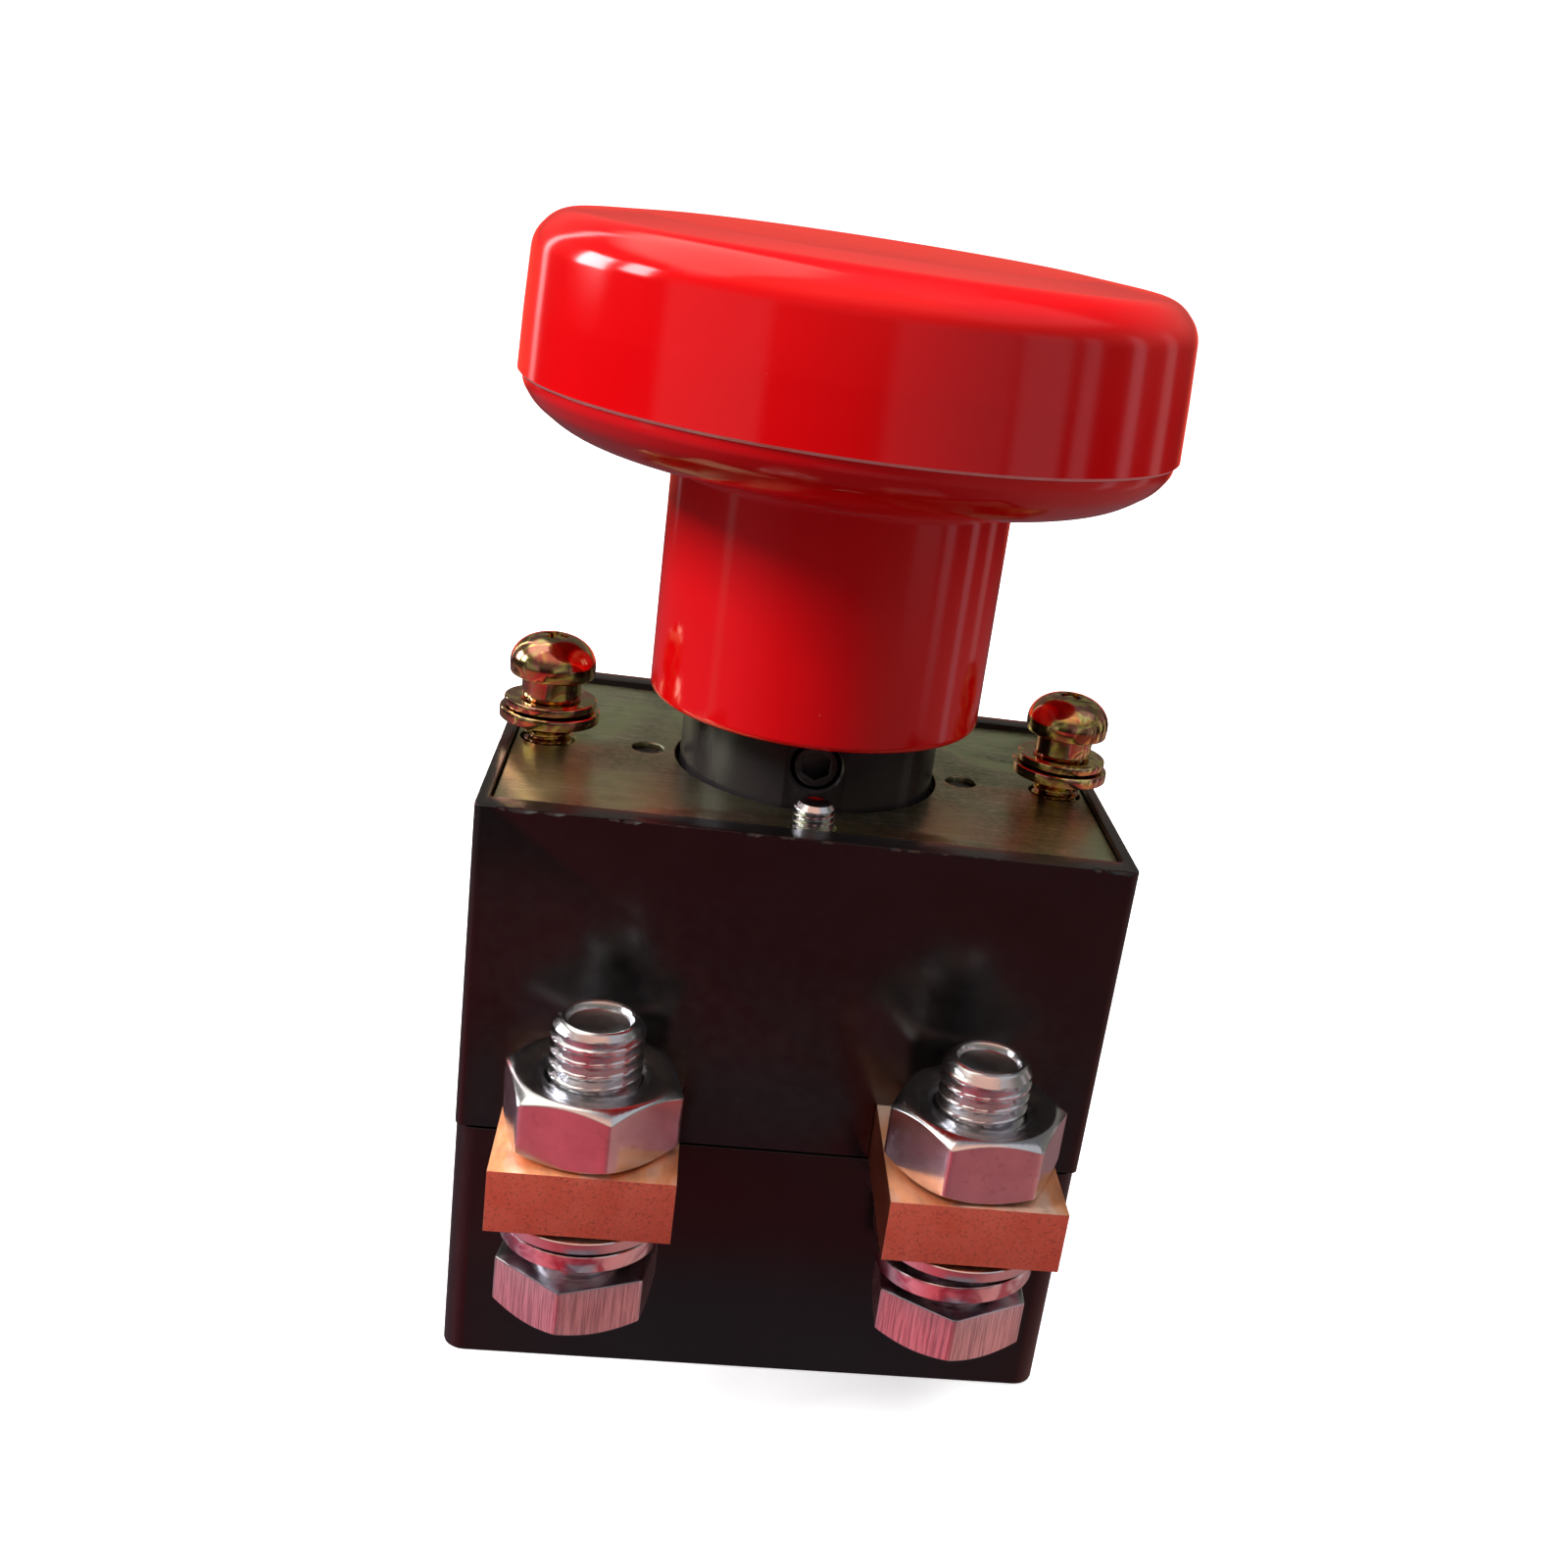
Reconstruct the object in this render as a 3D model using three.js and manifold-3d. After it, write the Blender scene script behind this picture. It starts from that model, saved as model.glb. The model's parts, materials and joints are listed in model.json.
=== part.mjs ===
// Push-pull battery disconnect switch with a mushroom knob, as separate pieces in millimetres.
// The origin is the middle of the base. +Z runs up the plunger to the knob, +X is to the right
// and the two copper terminal bars stick out of the front, towards -Y.
// The pieces lie as they do when the knob is up and the contacts are closed.
import * as THREE from "three";
import { mergeVertices } from "three/addons/utils/BufferGeometryUtils.js";
import Module from "manifold-3d";

const wasm = await Module();
wasm.setup();

// ---- driving dimensions ----
const TRAVEL = 5.5; // knob stroke from closed to open
const OVERTRAVEL = 1.15; // part of the stroke before the shaft shoulder picks up the bridge
const REST_GAP = 0.1; // between faces that rest on each other
const RUNNING_GAP = 0.3; // between a sliding piece and its guide
const HOLE_GAP = 0.2; // round a screw in its hole
const OVERLAP = 1; // how far joined and cutting shapes reach into or past each other
const INNER_CORNER = 1; // radius of the upright corners inside the housing
const SIDES = { left: -1, right: 1 };
const ENDS = { front: -1, rear: 1 };

const FINE = 40; // facets round the large turned pieces
const MEDIUM = 24;
const COARSE = 16;
const MERGE_DISTANCE = 1e-4;
const CHAMFER_SLOPE = Math.PI / 6;

const BODY = { halfWidth: 37.7, halfDepth: 28, height: 72.5, wall: 4.2 };
const LOWER = { top: 31.9, floor: 4, edgeRadius: 2.75, ribGap: 0.6, ribWidth: 2, ribLength: 7, ribTop: 28.9 };
const UPPER = { bottom: 32.2, webTop: 44, chamberHalfDepth: 22, edgeRadius: 1, shaftHole: 7.5 };
const TIE = { y: 21.4, column: 5.4, bore: 2.8, radius: 2.4, top: 74.7, slotHalfWidth: 0.6, slotDepth: 1.1 };
const TIE_HEAD = { radius: 4.4, bottom: 1.2, top: 4.6 };
const PLATE = { halfWidth: 36.2, halfDepth: 24.65, bottom: 69.75, top: 71.75, corner: 0.4 };
const PLATE_FIT = { hole: 16.6, margin: 0.15 };
const BOSS = { radius: 16, top: 95.5, bottom: 62, lowerRadius: 11, flat: 15.64, chamfer: 0.6 };
const FLANGE = { x: 20, lobe: 5, radius: 15.8, bottom: 65 };
const FLANGE_SCREW = { radius: 1.9, top: 71.2, headRadius: 3.5, headHeight: 2.4, socket: 2.5, depth: 1.5 };
const DETENT = { z: 76.9, bore: 3.05, ball: 2.2, ballCentre: 8.6 };
const DETENT_SCREW = { radius: 2.95, length: 2.7, end: 15.4, socket: 3, depth: 1.6 };
const MOUNTING = { x: 32.4, column: 4.6, depth: 62, clearance: 3.4 };
const MOUNTING_SCREW = { threadRadius: 3, neckRadius: 2.8, headRadius: 5.2, chamfer: 0.6 };
const MOUNTING_WASHER = { flatBore: 3.2, flatRadius: 6.1, springBore: 3.15, springRadius: 5.6, springGap: 1 };
const MOUNTING_STACK = { tip: 65.3, flat: 74.3, spring: 75.7, neck: 77.2, head: 79.9, edge: 81.5, top: 85 };
const BAR = { x: 21.6, halfWidth: 10, bottom: 32, top: 39.5, front: -48.7, back: 9, fit: 0.12 };
const BAR_SCREW = { y: -17, radius: 1.9, headRadius: 4, headHeight: 2.3, top: 43 };
const BOLT = { y: -39.35, radius: 5.15, hole: 5.5, chamfer: 1.2 };
const BOLT_HEAD = { acrossFlats: 16.8, bottom: 18.3, top: 24.7 };
const BOLT_TOP = { left: 54, right: 53.2 };
const NUT = { bottom: 39.6, top: 47.5, acrossFlats: 18, bore: 5.35 };
const FLAT_WASHER = { bottom: 30.2, top: 31.6, radius: 10 };
const SPRING_WASHER = { bore: 5.6, radius: 9.2, gap: 1.6 };
const SPRING_WASHER_Z = { left: [27.3, 29.7], right: [26.1, 28.5] };
const HEAD_TURN = { left: -9, right: -3 }; // degrees from a corner facing front
const NUT_TURN = { left: 14, right: -25 };
const SHAFT = { radius: 6, stud: 4, bottom: 12, top: 118.3, threadRadius: 4.9, threadStart: 103.9 };
const SHAFT_CHAMFER = 1;
const SHAFT_FLANGE = { radius: 8.5, bottom: 52, top: 53.4 };
const GROOVE = { depth: 1.3, halfWidth: 1.6 };
const THRUST_WASHER = { radius: 10, bottom: 53.5, top: 54.5 };
const OPENING_SPRING = { meanRadius: 8.2, wire: 0.7, turns: 3, bottom: 54.6, top: 61.9 };
const CONTACT_SPRING = { meanRadius: 6.6, wire: 0.75, turns: 2.5, bottom: 16.4, top: 21.3 };
const DETENT_SPRING = { meanRadius: 1.6, wire: 0.3, turns: 2 };
const STUD_NUT = { acrossFlats: 13, bottom: 12, top: 15 };
const SEAT_WASHER = { radius: 9, bottom: 15.1, top: 16.3 };
const BUSH = { flangeRadius: 9.5, flangeBottom: 21.4, flangeTop: 22.9, radius: 7.5, bore: 4.3, top: 30.1 };
const SHOULDER = BUSH.top + OVERTRAVEL; // of the shaft, which pushes the bush down
const BRIDGE = { halfLength: 30, halfWidth: 7.5, bottom: 23, top: 28.1, bore: 7.7, waist: 11.1 };
const BRIDGE_RING = { radius: 10, bottom: 28.2, top: 29.2, gap: 3 };
const TIP = { halfSize: 4, height: 1.85, gap: 0.05 };
const SKIRT = { outer: 20.5, inner: 17.2, bottom: 80.4, top: 108.4 };
const KNOB_WEB = { bottom: 104, top: 108, bore: 5.2 };
const KNOB_WASHER = { radius: 10, bottom: 108.1, top: 109.7 };
const KNOB_NUT = { acrossFlats: 17, bottom: 109.8, top: 115.8 };
const SEAM = 116.2;
const CAP = { wall: 2.5, spigotOuter: 34.4, spigotInner: 32, spigotBottom: 114.9, top: 134.95 };

// ---- solids: every shape is a THREE.BufferGeometry, closed and facing out ----

function manifoldOf(geometry) {
  const bare = geometry.clone();
  bare.deleteAttribute("normal");
  bare.deleteAttribute("uv");
  const merged = mergeVertices(bare, MERGE_DISTANCE);
  const mesh = new wasm.Mesh({
    numProp: 3,
    vertProperties: merged.attributes.position.array,
    triVerts: Uint32Array.from(merged.index.array),
  });
  return new wasm.Manifold(mesh);
}

function geometryOf(manifold) {
  const { vertProperties, triVerts } = manifold.getMesh();
  const geometry = new THREE.BufferGeometry();
  geometry.setAttribute("position", new THREE.BufferAttribute(vertProperties, 3));
  geometry.setIndex(new THREE.BufferAttribute(triVerts, 1));
  geometry.computeVertexNormals();
  return geometry;
}

function joined(...geometries) {
  const whole = geometries.map(manifoldOf).reduce((all, next) => all.add(next));
  return geometryOf(whole);
}

function cut(body, ...tools) {
  const left = tools.reduce((rest, tool) => rest.subtract(manifoldOf(tool)), manifoldOf(body));
  return geometryOf(left);
}

function common(first, second) {
  return geometryOf(manifoldOf(first).intersect(manifoldOf(second)));
}

function moved(geometry, x, y, z = 0) {
  return geometry.clone().translate(x, y, z);
}

// A body turned about Z from [radius, height] points that run anticlockwise.
function turned(profile, facets) {
  const points = profile.map(([radius, height]) => new THREE.Vector2(radius, height));
  const onAxis = profile[0][0] === 0 && profile.at(-1)[0] === 0;
  if (!onAxis) points.push(points[0].clone());
  return new THREE.LatheGeometry(points, facets).rotateX(Math.PI / 2);
}

function disc(radius, bottom, top, facets = COARSE) {
  return turned([[0, bottom], [radius, bottom], [radius, top], [0, top]], facets);
}

function ring(inner, outer, bottom, top, facets = COARSE) {
  return turned([[inner, bottom], [outer, bottom], [outer, top], [inner, top]], facets);
}

function block(x, y, z) {
  const geometry = new THREE.BoxGeometry(x[1] - x[0], y[1] - y[0], z[1] - z[0]);
  return geometry.translate((x[0] + x[1]) / 2, (y[0] + y[1]) / 2, (z[0] + z[1]) / 2);
}

function roundedBlock(halfWidth, halfDepth, bottom, top, radius) {
  const shape = new THREE.Shape();
  const right = halfWidth - radius;
  const back = halfDepth - radius;
  shape.absarc(right, back, radius, 0, Math.PI / 2);
  shape.absarc(-right, back, radius, Math.PI / 2, Math.PI);
  shape.absarc(-right, -back, radius, Math.PI, 1.5 * Math.PI);
  shape.absarc(right, -back, radius, 1.5 * Math.PI, 2 * Math.PI);
  const options = { depth: top - bottom, bevelEnabled: false, curveSegments: 4 };
  return new THREE.ExtrudeGeometry(shape, options).translate(0, 0, bottom);
}

// A hexagonal prism with a corner at `turn` degrees from -Y. `chamfered` names its chamfered ends.
function hexagon(acrossFlats, bottom, top, turn = 0, chamfered = []) {
  const flat = acrossFlats / 2;
  const corner = acrossFlats / Math.sqrt(3);
  const prism = new THREE.CylinderGeometry(corner, corner, top - bottom, 6).rotateX(Math.PI / 2);
  prism.rotateZ(THREE.MathUtils.degToRad(turn)).translate(0, 0, (bottom + top) / 2);
  const reach = corner + OVERLAP;
  const rise = (reach - flat) * Math.tan(CHAMFER_SLOPE);
  const lower = chamfered.includes("bottom") ? [[flat, bottom], [reach, bottom + rise]] : [[reach, bottom]];
  const upper = chamfered.includes("top") ? [[reach, top - rise], [flat, top]] : [[reach, top]];
  return common(prism, turned([[0, bottom], ...lower, ...upper, [0, top]], MEDIUM));
}

class Helix extends THREE.Curve {
  constructor(radius, turns, bottom, top) {
    super();
    Object.assign(this, { radius, turns, bottom, top });
  }
  getPoint(t, target = new THREE.Vector3()) {
    const angle = 2 * Math.PI * this.turns * t;
    const height = this.bottom + (this.top - this.bottom) * t;
    return target.set(this.radius * Math.cos(angle), this.radius * Math.sin(angle), height);
  }
}

function coil({ meanRadius, wire, turns, bottom, top }) {
  const section = new THREE.Shape();
  section.absarc(0, 0, wire, 0, 2 * Math.PI);
  const path = new Helix(meanRadius, turns, bottom + wire, top - wire);
  const steps = Math.round(turns * 14);
  return new THREE.ExtrudeGeometry(section, { steps, curveSegments: 3, extrudePath: path });
}

// ---- materials ----

function material(color, roughness, metalness) {
  return new THREE.MeshStandardMaterial({ color, roughness, metalness });
}
const blackPlastic = () => material(0x0d0d0f, 0.25, 0);
const redPlastic = () => material(0xb01016, 0.2, 0);
const yellowZinc = () => material(0x8f8348, 0.35, 1);
const brightZinc = () => material(0xc4c8cc, 0.3, 1);
const copper = () => material(0xc8693f, 0.35, 1);
const silver = () => material(0xd9d9d6, 0.3, 1);
const steel = () => material(0xa9adb2, 0.3, 1);
const springSteel = () => material(0x6d7075, 0.35, 1);
const insulator = () => material(0x3a2b20, 0.6, 0);

// ---- housing ----

function lowerHousing() {
  const inside = { x: BODY.halfWidth - BODY.wall, y: BODY.halfDepth - BODY.wall };
  const cavity = roundedBlock(inside.x, inside.y, LOWER.floor, LOWER.top + OVERLAP, INNER_CORNER);
  const shell = cut(roundedBlock(BODY.halfWidth, BODY.halfDepth, 0, LOWER.top, LOWER.edgeRadius), cavity);
  const columns = Object.values(ENDS).map((end) =>
    moved(disc(TIE.column, LOWER.floor - OVERLAP, LOWER.top), 0, end * TIE.y));
  const ribs = Object.values(SIDES).flatMap((side) =>
    Object.values(ENDS).map((end) => bridgeRib(side, end, inside.x)));
  const bores = Object.values(ENDS).flatMap((end) => [
    moved(disc(TIE.bore, -OVERLAP, LOWER.top + OVERLAP), 0, end * TIE.y),
    moved(disc(TIE_HEAD.radius + RUNNING_GAP, -OVERLAP, TIE_HEAD.top), 0, end * TIE.y),
  ]);
  return cut(joined(shell, ...columns, ...ribs), ...bores);
}

// An upright rib beside one end of the bridge, which keeps it from turning.
function bridgeRib(side, end, wallX) {
  const near = BRIDGE.halfWidth + LOWER.ribGap;
  const x = [wallX - LOWER.ribLength, wallX + OVERLAP].map((value) => side * value).sort((a, b) => a - b);
  const y = [near, near + LOWER.ribWidth].map((value) => end * value).sort((a, b) => a - b);
  return block(x, y, [LOWER.floor - OVERLAP, LOWER.ribTop]);
}

function upperHousing() {
  const outer = roundedBlock(BODY.halfWidth, BODY.halfDepth, UPPER.bottom, BODY.height, UPPER.edgeRadius);
  const chamber = roundedBlock(
    BODY.halfWidth - BODY.wall, UPPER.chamberHalfDepth, UPPER.webTop, BODY.height + OVERLAP, INNER_CORNER);
  const recess = roundedBlock(
    PLATE.halfWidth + PLATE_FIT.margin, PLATE.halfDepth + PLATE_FIT.margin,
    PLATE.bottom - REST_GAP, BODY.height + OVERLAP, PLATE.corner);
  const ledge = PLATE.bottom - REST_GAP;
  const columns = Object.values(ENDS).map((end) =>
    moved(disc(TIE.column, UPPER.webTop - OVERLAP, ledge), 0, end * TIE.y));
  const pillars = Object.values(SIDES).map((side) =>
    moved(disc(MOUNTING.column, UPPER.webTop - OVERLAP, ledge), side * MOUNTING.x, 0));
  const bores = Object.values(ENDS).map((end) =>
    moved(disc(TIE.bore, UPPER.bottom - OVERLAP, BODY.height), 0, end * TIE.y));
  const screwHoles = Object.values(SIDES).map((side) =>
    moved(disc(MOUNTING_SCREW.threadRadius + REST_GAP, MOUNTING.depth, BODY.height), side * MOUNTING.x, 0));
  const pockets = Object.values(SIDES).flatMap((side) => barPocket(side));
  const shaftHole = disc(UPPER.shaftHole, UPPER.bottom - OVERLAP, UPPER.webTop + OVERLAP, MEDIUM);
  const shell = cut(cut(outer, chamber), recess);
  return cut(joined(shell, ...columns, ...pillars), ...bores, ...screwHoles, ...pockets, shaftHole);
}

// The room for one terminal bar and its fixing screw, open below and at the front.
function barPocket(side) {
  const middle = side * BAR.x;
  const reach = BAR.halfWidth + BAR.fit;
  const room = block(
    [middle - reach, middle + reach],
    [-BODY.halfDepth - OVERLAP, BAR.back + BAR.fit],
    [UPPER.bottom - OVERLAP, BAR.top + REST_GAP]);
  const hole = disc(BAR_SCREW.radius + REST_GAP, BAR.top - OVERLAP, BAR_SCREW.top + RUNNING_GAP);
  return [room, moved(hole, middle, BAR_SCREW.y)];
}

function tieScrew() {
  const shank = disc(TIE.radius, TIE_HEAD.top - OVERLAP, TIE.top);
  const head = disc(TIE_HEAD.radius, TIE_HEAD.bottom, TIE_HEAD.top - REST_GAP);
  const width = [-TIE.slotHalfWidth, TIE.slotHalfWidth];
  const across = [-TIE_HEAD.radius - OVERLAP, TIE_HEAD.radius + OVERLAP];
  const slot = block(width, across, [0, TIE_HEAD.bottom + TIE.slotDepth]);
  return cut(joined(head, shank), slot);
}

// ---- top plate, guide boss and detent ----

// The turn about X that lays a piece made along +Z towards the front or the rear.
function towards(end) {
  return -end * Math.PI / 2;
}

function topPlate() {
  const sheet = roundedBlock(PLATE.halfWidth, PLATE.halfDepth, PLATE.bottom, PLATE.top, PLATE.corner);
  const through = (radius, facets) => disc(radius, PLATE.bottom - OVERLAP, PLATE.top + OVERLAP, facets);
  const sideHoles = Object.values(SIDES).flatMap((side) => [
    moved(through(FLANGE_SCREW.radius + REST_GAP), side * FLANGE.x, 0),
    moved(through(MOUNTING.clearance), side * MOUNTING.x, 0),
  ]);
  const tieHoles = Object.values(ENDS).map((end) => moved(through(TIE.bore - REST_GAP), 0, end * TIE.y));
  return cut(sheet, through(PLATE_FIT.hole, FINE), ...sideHoles, ...tieHoles);
}

function guideBoss() {
  const tower = turned(
    [[0, FLANGE.bottom], [BOSS.radius, FLANGE.bottom], [BOSS.radius, BOSS.top - BOSS.chamfer],
      [BOSS.radius - BOSS.chamfer, BOSS.top], [0, BOSS.top]],
    FINE);
  const foot = disc(BOSS.lowerRadius, BOSS.bottom, FLANGE.bottom + OVERLAP, MEDIUM);
  const flats = Object.values(ENDS).map((end) => {
    const y = [BOSS.flat, BOSS.radius + OVERLAP].map((value) => end * value).sort((a, b) => a - b);
    return block([-BOSS.radius, BOSS.radius], y, [PLATE.bottom, BOSS.top + OVERLAP]);
  });
  const bore = disc(SHAFT.radius + RUNNING_GAP, BOSS.bottom - OVERLAP, BOSS.top + OVERLAP, MEDIUM);
  const detentBores = Object.values(ENDS).map((end) => {
    const hole = disc(DETENT.bore, SHAFT.radius - OVERLAP, BOSS.radius + OVERLAP);
    return hole.rotateX(towards(end)).translate(0, 0, DETENT.z);
  });
  return cut(joined(cut(tower, ...flats), foot, flange()), bore, ...detentBores);
}

// The oblong flange that the boss hangs by, under the plate.
function flange() {
  const top = PLATE.bottom - REST_GAP;
  const middle = disc(FLANGE.radius, FLANGE.bottom, top, MEDIUM);
  const arms = block([-FLANGE.x, FLANGE.x], [-FLANGE.lobe, FLANGE.lobe], [FLANGE.bottom, top]);
  const lobes = Object.values(SIDES).map((side) =>
    moved(disc(FLANGE.lobe, FLANGE.bottom, top), side * FLANGE.x, 0));
  const holes = Object.values(SIDES).map((side) =>
    moved(disc(FLANGE_SCREW.radius + REST_GAP, FLANGE.bottom - OVERLAP, top + OVERLAP), side * FLANGE.x, 0));
  return cut(joined(middle, arms, ...lobes), ...holes);
}

function flangeScrew() {
  const seat = FLANGE.bottom - REST_GAP;
  const head = disc(FLANGE_SCREW.headRadius, seat - FLANGE_SCREW.headHeight, seat);
  const shank = disc(FLANGE_SCREW.radius, seat - OVERLAP, FLANGE_SCREW.top);
  const bottom = seat - FLANGE_SCREW.headHeight;
  const socket = hexagon(FLANGE_SCREW.socket, bottom - OVERLAP, bottom + FLANGE_SCREW.depth);
  return cut(joined(head, shank), socket);
}

function detentScrew() {
  const { radius, length, end, socket, depth } = DETENT_SCREW;
  return cut(disc(radius, end - length, end), hexagon(socket, end - depth, end + OVERLAP));
}

function detentSpring() {
  const bottom = DETENT.ballCentre + DETENT.ball + REST_GAP;
  const top = DETENT_SCREW.end - DETENT_SCREW.length - REST_GAP;
  return coil({ ...DETENT_SPRING, bottom, top });
}

function detentBall() {
  return new THREE.SphereGeometry(DETENT.ball, 12, 8).translate(0, 0, DETENT.ballCentre);
}

// ---- panel mounting screws ----

function mountingScrew() {
  const { tip, neck, head, edge, top } = MOUNTING_STACK;
  const { threadRadius, neckRadius, headRadius, chamfer } = MOUNTING_SCREW;
  const dome = [0, 1, 2, 3].map((step) => {
    const angle = step * Math.PI / 8;
    return [headRadius * Math.cos(angle), edge + (top - edge) * Math.sin(angle)];
  });
  return turned(
    [[0, tip], [threadRadius - chamfer, tip], [threadRadius, tip + chamfer], [threadRadius, neck],
      [neckRadius, neck + threadRadius - neckRadius], [neckRadius, head],
      [headRadius, head], ...dome, [0, top]],
    COARSE);
}

function splitRing(inner, outer, bottom, top, gap) {
  const slot = block([-gap / 2, gap / 2], [inner / 2, outer + OVERLAP], [bottom - OVERLAP, top + OVERLAP]);
  return cut(ring(inner, outer, bottom, top, MEDIUM), slot);
}

function mountingFlatWasher() {
  const { flatBore, flatRadius } = MOUNTING_WASHER;
  return ring(flatBore, flatRadius, MOUNTING_STACK.flat, MOUNTING_STACK.spring);
}

function mountingSpringWasher() {
  const { springBore, springRadius, springGap } = MOUNTING_WASHER;
  const { spring, neck } = MOUNTING_STACK;
  return splitRing(springBore, springRadius, spring + REST_GAP, neck - REST_GAP, springGap);
}

// ---- copper terminals ----

function terminalBar() {
  const long = { x: [-BAR.halfWidth, BAR.halfWidth], y: [BAR.front, BAR.back], z: [BAR.bottom, BAR.top] };
  const boltHole = moved(disc(BOLT.hole, BAR.bottom - OVERLAP, BAR.top + OVERLAP), 0, BOLT.y);
  const bottom = BAR.bottom + REST_GAP;
  const countersink = turned(
    [[0, BAR.bottom - OVERLAP], [BAR_SCREW.headRadius + HOLE_GAP, BAR.bottom - OVERLAP],
      [BAR_SCREW.headRadius + HOLE_GAP, bottom], [BAR_SCREW.radius + HOLE_GAP, bottom + BAR_SCREW.headHeight],
      [BAR_SCREW.radius + HOLE_GAP, BAR.top + OVERLAP], [0, BAR.top + OVERLAP]],
    COARSE);
  return cut(block(long.x, long.y, long.z), boltHole, moved(countersink, 0, BAR_SCREW.y));
}

function barScrew() {
  const bottom = BAR.bottom + REST_GAP;
  return turned(
    [[0, bottom], [BAR_SCREW.headRadius, bottom], [BAR_SCREW.radius, bottom + BAR_SCREW.headHeight],
      [BAR_SCREW.radius, BAR_SCREW.top], [0, BAR_SCREW.top]],
    COARSE);
}

function terminalBolt(name) {
  const { radius, chamfer } = BOLT;
  const top = BOLT_TOP[name];
  const start = BOLT_HEAD.top - OVERLAP;
  const head = hexagon(BOLT_HEAD.acrossFlats, BOLT_HEAD.bottom, BOLT_HEAD.top, HEAD_TURN[name], ["bottom"]);
  const shank = turned(
    [[0, start], [radius, start], [radius, top - chamfer], [radius - chamfer, top], [0, top]],
    COARSE);
  return joined(head, shank);
}

function terminalNut(turn) {
  const blank = hexagon(NUT.acrossFlats, NUT.bottom, NUT.top, turn, ["bottom", "top"]);
  return cut(blank, disc(NUT.bore, NUT.bottom - OVERLAP, NUT.top + OVERLAP));
}

function terminalFlatWasher() {
  return ring(BOLT.hole, FLAT_WASHER.radius, FLAT_WASHER.bottom, FLAT_WASHER.top, MEDIUM);
}

function terminalSpringWasher(name) {
  const [bottom, top] = SPRING_WASHER_Z[name];
  return splitRing(SPRING_WASHER.bore, SPRING_WASHER.radius, bottom, top, SPRING_WASHER.gap);
}

function contactTip(bottom) {
  return block([-TIP.halfSize, TIP.halfSize], [-TIP.halfSize, TIP.halfSize], [bottom, bottom + TIP.height]);
}

// ---- plunger ----

function plungerShaft() {
  const groove = (z) => [
    [SHAFT.radius, z - GROOVE.halfWidth],
    [SHAFT.radius - GROOVE.depth, z],
    [SHAFT.radius, z + GROOVE.halfWidth],
  ];
  return turned(
    [[0, SHAFT.bottom], [SHAFT.stud, SHAFT.bottom], [SHAFT.stud, SHOULDER],
      [SHAFT.radius, SHOULDER], [SHAFT.radius, SHAFT_FLANGE.bottom],
      [SHAFT_FLANGE.radius, SHAFT_FLANGE.bottom], [SHAFT_FLANGE.radius, SHAFT_FLANGE.top],
      [SHAFT.radius, SHAFT_FLANGE.top], ...groove(DETENT.z), ...groove(DETENT.z + TRAVEL),
      [SHAFT.radius, SHAFT.threadStart], [SHAFT.threadRadius, SHAFT.threadStart],
      [SHAFT.threadRadius, SHAFT.top - SHAFT_CHAMFER], [SHAFT.threadRadius - SHAFT_CHAMFER, SHAFT.top],
      [0, SHAFT.top]],
    MEDIUM);
}

function thrustWasher() {
  const { radius, bottom, top } = THRUST_WASHER;
  return ring(SHAFT.radius + RUNNING_GAP, radius, bottom, top, MEDIUM);
}

function drilledHexagon({ acrossFlats, bottom, top }, bore) {
  const blank = hexagon(acrossFlats, bottom, top, 0, ["bottom", "top"]);
  return cut(blank, disc(bore, bottom - OVERLAP, top + OVERLAP));
}

function knobWasher() {
  return ring(SHAFT.threadRadius + HOLE_GAP, KNOB_WASHER.radius, KNOB_WASHER.bottom, KNOB_WASHER.top);
}

function seatWasher() {
  return ring(SHAFT.stud + HOLE_GAP, SEAT_WASHER.radius, SEAT_WASHER.bottom, SEAT_WASHER.top, MEDIUM);
}

// ---- moving contact ----

function insulatingBush() {
  return turned(
    [[BUSH.bore, BUSH.flangeBottom], [BUSH.flangeRadius, BUSH.flangeBottom],
      [BUSH.flangeRadius, BUSH.flangeTop], [BUSH.radius, BUSH.flangeTop],
      [BUSH.radius, BUSH.top], [BUSH.bore, BUSH.top]],
    MEDIUM);
}

function bridgeBar() {
  const long = [-BRIDGE.halfLength, BRIDGE.halfLength];
  const across = [-BRIDGE.halfWidth, BRIDGE.halfWidth];
  const waist = disc(BRIDGE.waist, BRIDGE.bottom, BRIDGE.top, MEDIUM);
  const blank = joined(block(long, across, [BRIDGE.bottom, BRIDGE.top]), waist);
  return cut(blank, disc(BRIDGE.bore, BRIDGE.bottom - OVERLAP, BRIDGE.top + OVERLAP, MEDIUM));
}

function bridgeRing() {
  const { radius, bottom, top, gap } = BRIDGE_RING;
  return splitRing(BUSH.radius + REST_GAP, radius, bottom, top, gap);
}

// ---- knob ----

// Skirt, web and dished underside of the mushroom, one moulding.
function knobBody() {
  return turned(
    [[SKIRT.inner, SKIRT.bottom], [SKIRT.outer, SKIRT.bottom], [SKIRT.outer, SKIRT.top],
      [25.7, 109], [30.1, 109.8], [33, 110.7], [35.3, 111.9], [36.8, 113.2], [37.9, 115], [38.3, SEAM],
      [36, SEAM], [35.2, 115], [32, 113], [20, 110.6], [15, KNOB_WEB.top],
      [KNOB_WEB.bore, KNOB_WEB.top], [KNOB_WEB.bore, KNOB_WEB.bottom],
      [SKIRT.inner, KNOB_WEB.bottom]],
    FINE);
}

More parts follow.
